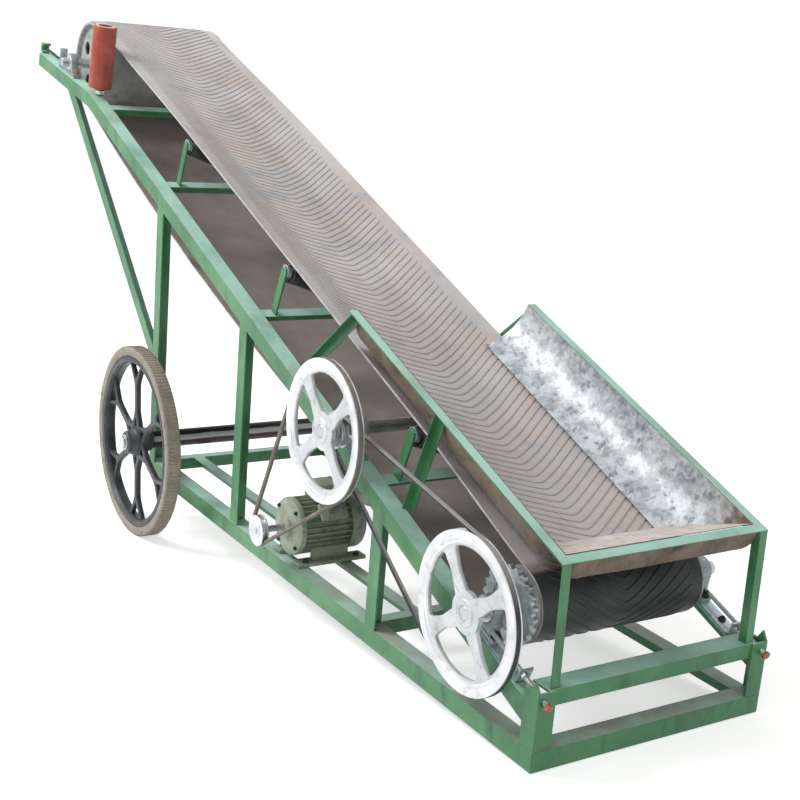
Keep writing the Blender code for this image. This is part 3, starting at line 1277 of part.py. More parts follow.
PAINT = material("green_paint", GREEN, 0.45, 0.0)
MOTOR_PAINT = material("olive_paint", OLIVE, 0.50, 0.0)
BRIGHT_STEEL = material("bright_steel", STEEL, 0.35, 1.0)
DRUM_STEEL = material("drum_steel", BLACK, 0.60, 0.2)
CAST_STEEL = material("cast_steel", STEEL, 0.50, 0.9)
BEARING_GREY = material("bearing_grey", STEEL, 0.45, 0.8)
ALUMINIUM = material("bare_aluminium", BARE_ALUMINIUM, 0.35, 0.9)
GALVANISED_SHEET = material("galvanised_sheet", GALVANISED, 0.40, 0.8)
ZINC = material("zinc_plate", GALVANISED, 0.35, 0.9)
CAST_BLACK = material("black_casting", BLACK, 0.50, 0.1)
AXLE_DARK = material("dark_axle", BLACK, 0.40, 0.5)
ROLLER_BLACK = material("black_rollers", BLACK, 0.50, 0.3)
ROLLER_RED = material("red_roller", RED, 0.45, 0.0)
BELT_RUBBER = material("belt_rubber", RUBBER, 0.80, 0.0)
V_BELT_RUBBER = material("v_belt_rubber", DARK_RUBBER, 0.75, 0.0)
TYRE_RUBBER = material("tyre_rubber", TYRE_TAN, 0.85, 0.0)

WHEEL_DISTANCE = BASE_LENGTH - WHEEL_INSET
FRAME_REACH = HALF + WHEEL_SIDE_GAP
WHEEL_CENTRE = Vector((-WHEEL_DISTANCE, 0, WHEEL_RADIUS))
MOTOR_CENTRE = on_base(MOTOR_DISTANCE, LEG_WIDTH + SEAT + MOTOR_AXIS_HEIGHT)
TAIL_AXIS = axis_empty("tail_axis", on_boom(TAIL_DISTANCE, TAIL_OUT))
JACK_AXIS = axis_empty("jack_axis", on_boom(JACK_DISTANCE, JACK_OUT))
HEAD_AXIS = axis_empty("head_axis", on_boom(HEAD_DISTANCE, HEAD_OUT))
MOTOR_AXIS = axis_empty("motor_axis", MOTOR_CENTRE)
WHEEL_AXES = {side: axis_empty(f"wheel_axis_{side}", WHEEL_CENTRE) for side, sign in SIDES}
GUIDE_AXIS = axis_empty("guide_axis", on_tip(0, GUIDE_LOW_OUT, GUIDE_Y))
GUIDE_AXIS.rotation_euler = TIP_NORMAL.to_track_quat("Z", "Y").to_euler()

base_rails()
base_crossbars()
motor_beam()
front_gate()
boom_rails()
head_brace()
posts()
struts()
idlers()
belt()
drums()
toothed_ring()
spoked_pulley("lower_pulley", LOWER_PULLEY_Y, LOWER_PULLEY_TURN, TAIL_AXIS)
spoked_pulley("upper_pulley", UPPER_PULLEY_Y, UPPER_PULLEY_TURN, JACK_AXIS)
jackshaft()
rail_bearings()
tail_takeups()
head_bearings()
v_belts()
motor()
motor_pulley()
wheels()
axle()
axle_brackets()
guide_roller()
hopper_frame()
hopper_sheets()
stand_on_floor()
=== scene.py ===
"""Looks of the mobile belt conveyor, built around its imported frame. Metres, +Z up, hopper at +X."""
import json
import math

import bmesh
import bpy
from mathutils import Matrix, Vector, noise


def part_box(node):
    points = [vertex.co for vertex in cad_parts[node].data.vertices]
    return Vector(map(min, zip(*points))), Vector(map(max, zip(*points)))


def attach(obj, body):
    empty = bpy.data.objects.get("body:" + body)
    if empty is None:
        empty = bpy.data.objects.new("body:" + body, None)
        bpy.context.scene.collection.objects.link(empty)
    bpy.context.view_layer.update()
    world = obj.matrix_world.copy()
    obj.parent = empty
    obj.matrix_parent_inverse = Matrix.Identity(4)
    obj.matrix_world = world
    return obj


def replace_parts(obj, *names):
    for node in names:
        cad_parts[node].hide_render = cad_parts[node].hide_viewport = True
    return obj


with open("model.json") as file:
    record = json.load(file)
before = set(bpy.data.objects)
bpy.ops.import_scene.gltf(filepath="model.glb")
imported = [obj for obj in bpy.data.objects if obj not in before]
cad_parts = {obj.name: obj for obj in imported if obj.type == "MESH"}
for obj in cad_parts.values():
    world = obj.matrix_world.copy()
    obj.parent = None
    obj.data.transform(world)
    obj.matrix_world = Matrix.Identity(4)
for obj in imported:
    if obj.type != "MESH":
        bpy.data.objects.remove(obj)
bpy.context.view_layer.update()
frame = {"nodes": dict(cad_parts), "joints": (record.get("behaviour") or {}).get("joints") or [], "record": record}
AXES = {row["name"]: Vector(row["pos_m"]) for row in frame["joints"]}
SLOTS = {row["node"]: row["material_slot"] for row in frame["record"]["subparts"]}

MM = 0.001
X_AXIS = Vector((1, 0, 0))
Y_AXIS = Vector((0, 1, 0))
Z_AXIS = Vector((0, 0, 1))
SIDES = (("near", -1), ("far", 1))

# Camera of the photograph, in the frame's own coordinates
CAMERA_PLACE = Vector((3.78757, -2.0537, 1.3276))
CAMERA_RIGHT = Vector((0.53320, 0.84499, 0.04111))
CAMERA_UP = Vector((-0.17955, 0.06554, 0.98156))
CAMERA_LENS = 58.41

# Studio
FLOOR_REACH = 60.0
FLOOR_GLOW = 0.55
WORLD_LEVEL = 0.50
# Name, place, size and power of each lamp
LAMPS = (
    ("key", (-2.6, -4.2, 5.8), 3.0, 345.0),
    ("fill", (3.5, -2.0, 4.5), 4.0, 25.0),
)
LAMP_TARGET = Vector((0, 0, 0.7))

# The source's own sizes, repeated here because this script reads only the frame
BOOM_FOOT = Vector((1.74017, 0, 0.142))
BOOM_SLOPE = math.radians(25.3)
BOOM_KNEE = math.radians(9.3)
BASE_TILT = math.radians(4.2)
BASE_LIFT = 0.002
BASE_ORIGIN = Vector((1.73217, 0, 0))
BOOM_LOWER_LENGTH = 3.180
HALF = 0.355
LEG = 0.050
LEG_WALL = 0.005
FLANGE_MIDDLE = HALF - LEG / 2
TAIL_DISTANCE = 0.270
TAIL_OUT = 0.059
TAIL_RADIUS = 0.089
HEAD_DISTANCE = 3.475
HEAD_RADIUS = 0.160
JACK_DISTANCE = 0.959
JACK_OUT = 0.063
DRUM_HALF = 0.265
SHAFT_RADIUS = 0.0175
SHAFT_BORE = 0.0183
BELT_WIDTH = 0.500
BELT_THICKNESS = 0.008
BELT_SAG = 0.095
EDGE_LIFT = 0.018
TROUGH_ANGLE = math.radians(20.0)
CENTRE_WIDTH = 0.205
IDLER_DISTANCES = (0.820, 1.630, 2.460)
IDLER_RADIUS = 0.0295
SIDE_ROLLER_SPAN = 0.150
LOWER_PULLEY_Y = -0.3934
UPPER_PULLEY_Y = -0.4314
PULLEY_RADIUS = 0.192
SMALL_PULLEY_RADIUS = 0.050
MOTOR_PULLEY_RADIUS = 0.045
V_BELT_TOP = 0.013
V_BELT_DEPTH = 0.009
WHEEL_MIDDLE = 0.465
WHEEL_RADIUS = 0.325
RIM_RADIUS = 0.293
RIM_INNER = 0.269
TYRE_WIDTH = 0.050
HUB_RADIUS = 0.046
HUB_FORK = 0.105
RIM_FORK = 0.200
FORK_WIDTH = 0.094
SPOKE_HALF = 0.011
ARM = 0.014
AXLE_RADIUS = 0.0298
MOTOR_FRONT_Y = -0.3414
MOTOR_LENGTH = 0.230
MOTOR_RADIUS = 0.085
MOTOR_DROP = 0.095
GUIDE_LENGTH = 0.233
GUIDE_RADIUS = 0.0438
GUIDE_BORE = 0.0127
HOPPER_LOW = 0.136
HOPPER_HIGH = 1.170
HOPPER_LOW_OUT = 0.310
HOPPER_HIGH_OUT = 0.297
HOPPER_INNER = 0.289
SHEET_FOOT = 0.340
SHEET_COVER = 0.065
SHEET_TURN = math.radians(75)
POST_DISTANCES = (0.700, 1.540, 2.225)
HEAD_BRACE_DISTANCE = 3.080

# Sizes of what this script adds
BELT_CARCASS = 5.6 * MM
BELT_LIFT = 1.2 * MM
RIB_HEIGHT = 2.4 * MM
RIB_SPACING = 29.0 * MM
RIB_SLOPE = math.radians(33.0)
RIB_REACH = 0.212
RIB_NOSE = 0.014
TREAD_COUNT = 150
TREAD_DEPTH = 1.3 * MM
LOWER_PULLEY_TURN = math.radians(30)
UPPER_PULLEY_TURN = math.radians(37)
BOLT_SHIFTS = (-0.052, 0.052)
NUT_CHAMFER = 0.8 * MM
WELD_RADIUS = 2.6 * MM

# Bolts as (point, way, size) rows, gathered by the pieces that they hold
DARK, PALE, RUSTY = [], [], []


def unit(angle):
    return Vector((-math.cos(angle), 0, math.sin(angle)))


def square_to(direction):
    return Vector((direction.z, 0, -direction.x))


BASE_DIR = unit(BASE_TILT)
BASE_NORMAL = square_to(BASE_DIR)
BOOM_DIR = unit(BOOM_SLOPE)
BOOM_NORMAL = square_to(BOOM_DIR)
TIP_DIR = unit(BOOM_SLOPE - BOOM_KNEE)
TIP_NORMAL = square_to(TIP_DIR)


def on_base(back, rise, y=0.0):
    return BASE_ORIGIN + BASE_DIR * back + BASE_NORMAL * (rise + BASE_LIFT) + Y_AXIS * y


def on_boom(up, out, y=0.0):
    return BOOM_FOOT + BOOM_DIR * up + BOOM_NORMAL * out + Y_AXIS * y


def on_tip(along, out, y=0.0):
    return on_boom(BOOM_LOWER_LENGTH, 0) + TIP_DIR * along + TIP_NORMAL * out + Y_AXIS * y


def at_y(axis, y):
    """Point of an axis along Y at that y."""
    return Vector((axis.x, y, axis.z))


def part_way(low, high, share):
    return low + (high - low) * share


def limited(value):
    return max(0.0, min(1.0, value))


# Where the far sheet's zinc has rusted: its top front corner
RUST_CORNER = on_boom(0.19, 0.295, 0.275)


# Nodes

VALUE_PAIR = (0, 1)
# For each kind of node: its type, its settings, the sockets in the order of the values, and its output
KINDS = {
    "object_place": ("ShaderNodeTexCoord", {}, (), "Object"),
    "facing": ("ShaderNodeNewGeometry", {}, (), "Normal"),
    "belt_run": ("ShaderNodeAttribute", {"attribute_name": "belt_run"}, (), "Fac"),
    "camera_ray": ("ShaderNodeLightPath", {}, (), "Is Camera Ray"),
    "glossy_ray": ("ShaderNodeLightPath", {}, (), "Is Glossy Ray"),
    "clear_ray": ("ShaderNodeLightPath", {}, (), "Is Transmission Ray"),
    "x": ("ShaderNodeSeparateXYZ", {}, (0,), "X"),
    "y": ("ShaderNodeSeparateXYZ", {}, (0,), "Y"),
    "z": ("ShaderNodeSeparateXYZ", {}, (0,), "Z"),
    "vector": ("ShaderNodeCombineXYZ", {}, ("X", "Y"), "Vector"),
    "stretch": ("ShaderNodeMapping", {}, ("Vector", "Scale"), "Vector"),
    "noise": ("ShaderNodeTexNoise", {}, ("Vector", "Scale", "Detail", "Roughness"), "Fac"),
    "crystals": ("ShaderNodeTexVoronoi", {}, ("Vector", "Scale"), "Color"),
    "red": ("ShaderNodeSeparateColor", {}, (0,), "Red"),
    "ramp": ("ShaderNodeMapRange", {}, ("Value", "From Min", "From Max"), "Result"),
    "smooth": ("ShaderNodeMapRange", {"interpolation_type": "SMOOTHSTEP"},
               ("Value", "From Min", "From Max", "To Min", "To Max"), "Result"),
    "mix": ("ShaderNodeMix", {"data_type": "RGBA"}, (0, 6, 7), 2),
    "plus": ("ShaderNodeMath", {"operation": "ADD"}, VALUE_PAIR, "Value"),
    "minus": ("ShaderNodeMath", {"operation": "SUBTRACT"}, VALUE_PAIR, "Value"),
    "times": ("ShaderNodeMath", {"operation": "MULTIPLY"}, VALUE_PAIR, "Value"),
    "larger": ("ShaderNodeMath", {"operation": "MAXIMUM"}, VALUE_PAIR, "Value"),
    "wrapped": ("ShaderNodeMath", {"operation": "FLOORED_MODULO"}, VALUE_PAIR, "Value"),
    "dot": ("ShaderNodeVectorMath", {"operation": "DOT_PRODUCT"}, VALUE_PAIR, "Value"),
    "distance": ("ShaderNodeVectorMath", {"operation": "DISTANCE"}, VALUE_PAIR, "Value"),
    "moved": ("ShaderNodeVectorMath", {"operation": "ADD"}, VALUE_PAIR, "Vector"),
    "scaled": ("ShaderNodeVectorMath", {"operation": "SCALE"}, ("Vector", "Scale"), "Vector"),
    "bevel": ("ShaderNodeBevel", {"samples": 4}, ("Radius",), "Normal"),
    "bump": ("ShaderNodeBump", {}, ("Height", "Distance", "Normal"), "Normal"),
    "glow": ("ShaderNodeEmission", {}, ("Color", "Strength"), "Emission"),
    "both_shaders": ("ShaderNodeAddShader", {}, (0, 1), "Shader"),
    "either_shader": ("ShaderNodeMixShader", {}, (0, 1, 2), "Shader"),
    "backdrop": ("ShaderNodeBackground", {}, ("Color", "Strength"), "Background"),
    "position": ("GeometryNodeInputPosition", {}, (), "Position"),
    "normal": ("GeometryNodeInputNormal", {}, (), "Normal"),
    "named_vector": ("GeometryNodeInputNamedAttribute", {"data_type": "FLOAT_VECTOR"}, ("Name",),
                     "Attribute"),
    "named_value": ("GeometryNodeInputNamedAttribute", {"data_type": "FLOAT"}, ("Name",), "Attribute"),
    "line": ("GeometryNodeMeshLine", {}, ("Count", "Offset"), "Mesh"),
    "shape_of": ("GeometryNodeObjectInfo", {}, ("Object",), "Geometry"),
    "turned": ("FunctionNodeAlignRotationToVector", {"axis": "Z"}, ("Vector",), "Rotation"),
    "copies": ("GeometryNodeInstanceOnPoints", {}, ("Points", "Instance", "Rotation", "Scale"), "Instances"),
    "real": ("GeometryNodeRealizeInstances", {}, ("Geometry",), "Geometry"),
    "on_surface": ("GeometryNodeSampleUVSurface", {"data_type": "FLOAT_VECTOR"},
                   ("Mesh", "Value", "UV Map", "Sample UV"), "Value"),
    "set_place": ("GeometryNodeSetPosition", {}, ("Geometry", "Position"), "Geometry"),
    "set_finish": ("GeometryNodeSetMaterial", {}, ("Geometry", "Material"), "Geometry"),
}


def linear(hex_colour):
    """sRGB hex to a linear colour."""
    channels = [int(hex_colour[start:start + 2], 16) / 255 for start in (1, 3, 5)]
    shares = [c / 12.92 if c <= 0.04045 else ((c + 0.055) / 1.055) ** 2.4 for c in channels]
    return (*shares, 1.0)


def fill(tree, node, values):
    """Give sockets of a node their numbers, hex colours or links."""
    for name, value in values.items():
        if isinstance(value, bpy.types.NodeSocket):
            tree.links.new(value, node.inputs[name])
        elif isinstance(value, str) and value.startswith("#"):
            node.inputs[name].default_value = linear(value)
        else:
            node.inputs[name].default_value = value


def add(tree, kind, *values):
    """One node with its settings and links. Gives its output."""
    type_name, settings, sockets, output = KINDS[kind]
    node = tree.nodes.new(type_name)
    for name, value in settings.items():
        setattr(node, name, value)
    fill(tree, node, dict(zip(sockets, values)))
    return node.outputs[output]


def new_finish(name):
    made = bpy.data.materials.new(name)
    made.use_nodes = True
    return made, made.node_tree, made.node_tree.nodes["Principled BSDF"]


def spots(tree, size, low, high, detail=4.0, rough=0.6, stretch=(1, 1, 1)):
    """Mask from 0 to 1 of blotches of about that size in metres."""
    place = add(tree, "stretch", add(tree, "object_place"), stretch)
    return add(tree, "ramp", add(tree, "noise", place, 0.5 / size, detail, rough), low, high)


def coat(tree, under, over, *masks):
    """Colour with another laid over it where all the masks let it."""
    cover = masks[0]
    for mask in masks[1:]:
        cover = add(tree, "times", cover, mask)
    return add(tree, "mix", cover, under, over)


def facing_up(tree, low, high):
    """Mask of the surfaces that face up, between two heights of their normal."""
    return add(tree, "smooth", add(tree, "z", add(tree, "facing")), low, high)


# Finishes. Grit and brush marks, finer than 1 mm, are drawn 1 to 4 mm wide so that they show

def enamel(name, base, light, dark):
    """Brushed alkyd enamel on rolled angle: uneven coat, top faces pale with dust and a painted top light, chipped
    edges.
    """
    made, tree, shader = new_finish(name)
    colour = coat(tree, base, light, spots(tree, 0.14, 0.40, 0.64))
    colour = coat(tree, colour, dark, spots(tree, 0.035, 0.50, 0.74, stretch=(1, 1, 0.35)))
    top = facing_up(tree, 0.35, 0.95)
    dust_and_top_light = add(tree, "times", top, add(tree, "smooth", spots(tree, 0.07, 0.20, 0.62), 0.0, 1.0, 0.45, 0.88))
    # Pale mint on top faces: dust, and a painted highlight for the light from above
    colour = coat(tree, colour, "#bde6d8", dust_and_top_light)
    colour = coat(tree, colour, "#a49a88", top, spots(tree, 0.11, 0.56, 0.70), 0.55)
    # Trodden dirt on the base's low top faces
    low = add(tree, "smooth", add(tree, "z", add(tree, "object_place")), 0.19, 0.11)
    colour = coat(tree, colour, "#aaa694", low, top, spots(tree, 0.05, 0.30, 0.58), 0.72)
    # Chips where the rounded edge turns away from its face
    soft = add(tree, "bevel", 1.8 * MM)
    edge = add(tree, "minus", 1.0, add(tree, "dot", soft, add(tree, "facing")))
    colour = coat(tree, colour, "#6b5a4c", edge, 6.0, spots(tree, 0.022, 0.50, 0.60))
    brush_marks = spots(tree, 0.004, 0.3, 0.7, stretch=(1, 1, 0.2))
    fill(tree, shader, {"Base Color": colour, "Normal": add(tree, "bump", brush_marks, 0.22 * MM, soft),
                        "Roughness": add(tree, "smooth", dust_and_top_light, 0.0, 1.0, 0.36, 0.62)})
    return made


def worn(name, base, light, dark, metallic, roughness, size=0.03, grit=0.002, depth=0.15, rust=None,
         rust_low=0.60, soften=1.2):
    """Metal, paint or rubber with blotches, grit, softened edges and, where asked, spots of rust."""
    made, tree, shader = new_finish(name)
    colour = coat(tree, base, light, spots(tree, size, 0.42, 0.62))
    colour = coat(tree, colour, dark, spots(tree, size * 0.5, 0.52, 0.74))
    rough = add(tree, "smooth", spots(tree, size * 0.7, 0.3, 0.7), 0.0, 1.0, roughness * 0.8,
                min(1.0, roughness * 1.3))
    if rust:
        rusty = spots(tree, size * 1.6, rust_low, rust_low + 0.12, detail=8.0)
        colour = coat(tree, colour, rust, rusty)
        rough = add(tree, "larger", rough, add(tree, "times", rusty, 0.8))
        metallic = add(tree, "smooth", rusty, 0.0, 1.0, metallic, 0.0)
    grain = add(tree, "bump", spots(tree, grit, 0.3, 0.7), depth * MM, add(tree, "bevel", soften * MM))
    fill(tree, shader, {"Base Color": colour, "Roughness": rough, "Metallic": metallic, "Normal": grain})
    return made


def belt_cover(name, ribs):
    """Dusty rubber: pale, rust stained carrying run, dark at the tail as clean rubber with painted shade, brown
    dust inside and below.
    """
    made, tree, shader = new_finish(name)
    run = add(tree, "belt_run")
    carried = coat(tree, "#c0bcbb", "#d1cdcb", spots(tree, 0.22, 0.38, 0.60))
    for stain, size, low, high, detail, share in (
        ("#ccb9ae", 0.16, 0.48, 0.68, 6.0, 0.75),
        ("#c2a696", 0.07, 0.56, 0.70, 7.0, 0.35),
        ("#9ba6b2", 0.05, 0.56, 0.70, 4.0, 0.45),
    ):
        carried = coat(tree, carried, stain, spots(tree, size, low, high, detail), share)
    # Dark tail and outer return run: clean rubber, darkened further as painted shade
    tail = coat(tree, "#2f3335", "#45484a", spots(tree, 0.08, 0.40, 0.62))
    inside = coat(tree, "#8d827c", "#a99d96", spots(tree, 0.12, 0.36, 0.64))
    below = coat(tree, tail, inside, add(tree, "smooth", run, 0.1, 0.45))
    thick = add(tree, "smooth", spots(tree, 0.25, 0.30, 0.70), 0.0, 1.0, 0.84, 1.0)
    dust_and_top_light = add(tree, "times", add(tree, "smooth", run, 0.55, 1.0), thick)
    colour = coat(tree, below, carried, dust_and_top_light)
    if ribs:
        colour = coat(tree, colour, "#a9a6a3", run, 0.25)
        # Painted shade on the flanks of the ribs, where less dust lies than on their crowns
        colour = coat(tree, colour, "#4b4745", add(tree, "minus", 1.0, facing_up(tree, 0.2, 0.8)), 0.10)
    fill(tree, shader, {"Base Color": colour, "Specular IOR Level": 0.3,
                        "Roughness": add(tree, "smooth", dust_and_top_light, 0.0, 1.0, 0.46, 0.80),
                        "Normal": add(tree, "bump", spots(tree, 0.0022, 0.3, 0.7), 0.35 * MM)})
    return made


def spangled_zinc(name):
    """Hot dip galvanised sheet: 9 mm crystals, white bloom, grey scuffs, and rust at one corner."""
    made, tree, shader = new_finish(name)
    here = add(tree, "object_place")
    grey = add(tree, "red", add(tree, "crystals", here, 110.0))
    colour = coat(tree, "#959da3", "#b6bdc1", grey)
    colour = coat(tree, colour, "#d3d9dc", spots(tree, 0.022, 0.44, 0.58, 9.0, 0.7))
    colour = coat(tree, colour, "#7d8489", spots(tree, 0.016, 0.54, 0.64, 9.0, 0.7))
    colour = coat(tree, colour, "#9d8673", spots(tree, 0.05, 0.60, 0.70), 0.6)
    corner = add(tree, "smooth", add(tree, "distance", here, RUST_CORNER), 0.11, 0.03)
    colour = coat(tree, colour, "#7c6455", corner, spots(tree, 0.02, 0.40, 0.55, 8.0))
    fill(tree, shader, {"Base Color": colour, "Metallic": 0.2,
                        "Roughness": add(tree, "smooth", grey, 0.0, 1.0, 0.30, 0.52),
                        "Normal": add(tree, "bump", spots(tree, 0.05, 0.2, 0.8, 2.0), 1.2 * MM)})
    return made


def rusty_sheet(name):
    """Outside of the galvanised sheet: brown film of rust and streaks of mud over dull zinc."""
    made, tree, shader = new_finish(name)
    colour = coat(tree, "#6f5f52", "#8a7a6c", spots(tree, 0.05, 0.40, 0.62, 8.0))
    colour = coat(tree, colour, "#4d4743", spots(tree, 0.03, 0.52, 0.66, 8.0, stretch=(0.35, 1, 1)))
    colour = coat(tree, colour, "#a9886c", spots(tree, 0.02, 0.60, 0.70, 6.0))
    colour = coat(tree, colour, "#7b8288", spots(tree, 0.08, 0.60, 0.70))
    fill(tree, shader, {"Base Color": colour, "Metallic": 0.2, "Specular IOR Level": 0.35,
                        "Roughness": add(tree, "smooth", spots(tree, 0.04, 0.3, 0.7), 0.0, 1.0, 0.5, 0.8),
                        "Normal": add(tree, "bump", spots(tree, 0.004, 0.3, 0.7), 0.3 * MM)})
    return made


def belt_with_dust_and_top_light(name, dust, back):
    """Moulded V-belt rubber whose upper faces carry grey dust and a painted top light."""
    made, tree, shader = new_finish(name)
    clean = coat(tree, back, "#3d4248", spots(tree, 0.02, 0.42, 0.62))
    thick = add(tree, "smooth", spots(tree, 0.03, 0.3, 0.7), 0.0, 1.0, 0.75, 1.0)
    # Grey on faces that look up: dust, and a painted highlight for the light from above
    fill(tree, shader, {"Base Color": coat(tree, clean, dust, facing_up(tree, 0.25, 0.75), thick),
                        "Roughness": 0.7,
                        "Normal": add(tree, "bump", spots(tree, 0.001, 0.3, 0.7), 0.15 * MM)})
    return made


def banded_tube_painted_highlight(name):
    """Black painted steel tube: bright along its sides as a painted highlight, dark red-brown below."""
    made, tree, shader = new_finish(name)
    wander = add(tree, "smooth", spots(tree, 0.09, 0.3, 0.7), 0.0, 1.0, -0.06, 0.06)
    height = add(tree, "plus", add(tree, "z", add(tree, "facing")), wander)
    # Bright band on the upper sides: a painted highlight; dark red-brown on the faces that look down
    colour = coat(tree, "#3a2420", "#b5b8bc", add(tree, "smooth", height, -0.12, 0.02))
    colour = coat(tree, colour, "#1d1d20", add(tree, "smooth", height, 0.46, 0.58))
    colour = coat(tree, colour, "#4b3d39", spots(tree, 0.03, 0.56, 0.70), 0.6)
    fill(tree, shader, {"Base Color": colour, "Metallic": 0.3,
                        "Roughness": add(tree, "smooth", spots(tree, 0.03, 0.3, 0.7), 0.0, 1.0, 0.28, 0.45),
                        "Normal": add(tree, "bump", spots(tree, 0.003, 0.3, 0.7), 0.1 * MM)})
    return made


# Green enamel: satin where it is clean, flat and pale under dust and a painted top light, brown where an edge is
# chipped
GREEN = enamel("green_brushed_enamel", "#3f8053", "#589766", "#2a6042")
# Belt rubber: flat and pale with dust where it carries, dark with painted shade and a dull shine at the tail
BELT_COVER = belt_cover("belt_cover_painted_tail_shade", False)
# Its ribs: scuffed a shade darker than the cover, darkest on their flanks with painted shade
BELT_RIBS = belt_cover("scuffed_belt_ribs_painted_shade", True)
# Zinc inside the hopper: light and dark crystals under a cloudy white bloom
ZINC_SHEET = spangled_zinc("spangled_zinc")
# The same sheet outside: brown and streaked, with no sparkle left
RUSTY_SHEET = rusty_sheet("rusty_sheet")
# V-belt rubber: blue black, with grey dust and a painted top light on what faces up
V_BELT_DUST_AND_TOP_LIGHT = belt_with_dust_and_top_light("v_belt_dust_and_top_light", "#a9a49e", "#272b33")
# Axle paint: black on top, a painted highlight as a bright band along each side, dark red-brown below
AXLE = banded_tube_painted_highlight("axle_tube_painted_highlight")
# Cut rubber and canvas: dull and pale with dust
BELT_EDGE = worn("cut_belt_edge", "#bab8b6", "#cfcdcb", "#918c88", 0.0, 0.85, 0.02, soften=0.6)
# Sand cast aluminium: pale, fine grained, half dull
ALUMINIUM = worn("sand_cast_aluminium", "#c9cdd1", "#e0e2e4", "#a6abb0", 0.45, 0.48, 0.025, 0.0012, 0.22)
# Turned steel and aluminium: brighter, almost smooth
TURNED = worn("turned_rim", "#d4d7da", "#eceef0", "#aeb2b6", 0.85, 0.32, 0.04, 0.0008, 0.06)
# Painted grey iron: near black, rough from the sand mould
CASTING = worn("black_casting", "#33363a", "#484d53", "#1f2225", 0.15, 0.42, 0.03, 0.0015, 0.25)
# Solid rubber tyre: matt, brown with dried mud
TYRE = worn("worn_tyre", "#9c9489", "#b0a89c", "#655e57", 0.0, 0.88, 0.035, 0.002, 0.4)
TREAD = worn("worn_tread", "#98907f", "#aba292", "#6d665c", 0.0, 0.88, 0.02, 0.002, 0.3)
# Bare machined steel: clear lights, with brown spots on the shafts
RING_STEEL = worn("ring_steel", "#a2a9ad", "#c3c9cc", "#7d8386", 0.75, 0.42, 0.02)
SHAFT_STEEL = worn("shaft_steel", "#b4b7ba", "#cdd0d2", "#85888b", 1.0, 0.3, rust="#7d5a45", rust_low=0.62)
# Zinc plated sheet steel: bluish grey, a few brown spots
ZINC_PLATE = worn("zinc_plate", "#b3bfc6", "#cfd9de", "#87939a", 0.7, 0.38, 0.02, rust="#8c7260",
                  rust_low=0.66)
# Bolt heads: red rust, black oxide and bright zinc
RUSTY_BOLT = worn("rusty_bolt", "#a5654e", "#c48a72", "#6b3f31", 0.3, 0.7, 0.006, 0.001, 0.3)
DARK_BOLT = worn("dark_bolt", "#2e3336", "#474e52", "#1c1f21", 0.5, 0.45, 0.006)
PALE_BOLT = worn("zinc_bolt", "#a8adb0", "#c6cacc", "#74797c", 0.9, 0.35, 0.006)
# Grey lacquer on cast iron: a soft sheen over the grain
BEARING = worn("bearing_casting", "#8d9a9d", "#aab6b9", "#5f6c70", 0.45, 0.42, 0.02)
# Sprayed olive paint on the motor's casting, rubbed paler on its end shield
MOTOR_GREEN = worn("olive_motor_paint", "#8b9782", "#a2ae97", "#5d6857", 0.0, 0.42, 0.03, 0.0015, 0.15)
MOTOR_PALE = worn("pale_end_shield", "#98a18f", "#b0b7a6", "#6b7564", 0.1, 0.45, 0.02)
# Bare aluminium plate: even and bright
BARE_PLATE = worn("blank_plate", "#b9bcb8", "#d0d2ce", "#8d908c", 0.8, 0.4, 0.01)
# Roller paint: black and glossy, or brick red, rubbed pink where the tube's end is worn
ROLLER_BLACK = worn("black_roller_paint", "#26282a", "#3b3d3f", "#141516", 0.1, 0.40)
ROLLER_RED = worn("red_roller_paint", "#a2432f", "#b55a48", "#7c2f22", 0.0, 0.42, 0.04, 0.0015, 0.12)
ROLLER_END = worn("worn_roller_end", "#dfc3bb", "#ead6d0", "#b98f84", 0.0, 0.6, 0.01)
# V-belt canvas: dull brown grey
V_BELT = worn("v_belt_rubber", "#7b736d", "#8e867f", "#5a534e", 0.0, 0.75, 0.02, 0.001, 0.15)
# Sheet with a film of lime: chalky, brown where it has worn through
PALE_SHEET = worn("limed_sheet", "#c9bfb8", "#ddd4cd", "#9a8677", 0.1, 0.6, 0.03, 0.003, 0.3, "#8d6f5c")
# Welded drum steel: dull grey, brown in patches
DRUM = worn("drum_steel", "#a3a6a5", "#bbbebd", "#7c7e7d", 0.3, 0.6, 0.04, rust="#8d7464", rust_low=0.62)


# Shapes

def polar(radius, angle):
    return (radius * math.cos(angle), radius * math.sin(angle))


def turns(start, end, count):
    """Values from a start to an end in equal steps."""
    return [part_way(start, end, step / count) for step in range(count + 1)]


def arc(radius, start, end, count):
    return [polar(radius, angle) for angle in turns(start, end, count)]


def circle(radius, count, centre=(0.0, 0.0)):
    return [(centre[0] + x, centre[1] + y) for x, y in arc(radius, 0.0, math.tau, count)[:-1]]


def mirrored(rows):
    """Closed profile from the (radius, along) rows of its upper half."""
    return [*rows, *((radius, -along) for radius, along in reversed(rows))]


def rounded(corners, steps=6):
    """Outline from (point, radius) rows, each corner with a radius drawn as a curve."""
    points = []
    for index, (corner, radius) in enumerate(corners):
        if radius == 0:
            points.append(corner)
            continue
        here = Vector(corner)
        before = Vector(corners[index - 1][0]) - here
        after = Vector(corners[(index + 1) % len(corners)][0]) - here
        reach = min(radius / math.tan(before.angle(after) / 2), before.length / 2, after.length / 2)
        start = here + before.normalized() * reach
        end = here + after.normalized() * reach
        for step in range(steps + 1):
            share = step / steps
            point = start * (1 - share) ** 2 + here * 2 * share * (1 - share) + end * share ** 2
            points.append(tuple(point))
    return points


def ring_points(centre, axis, radius, steps):
    across = axis.orthogonal().normalized()
    return [centre + across * x + axis.cross(across) * y for x, y in circle(radius, steps)]


def frame_matrix(centre, x_axis, y_axis):
    turn = Matrix((x_axis, y_axis, x_axis.cross(y_axis))).transposed()
    return Matrix.Translation(centre) @ turn.to_4x4()


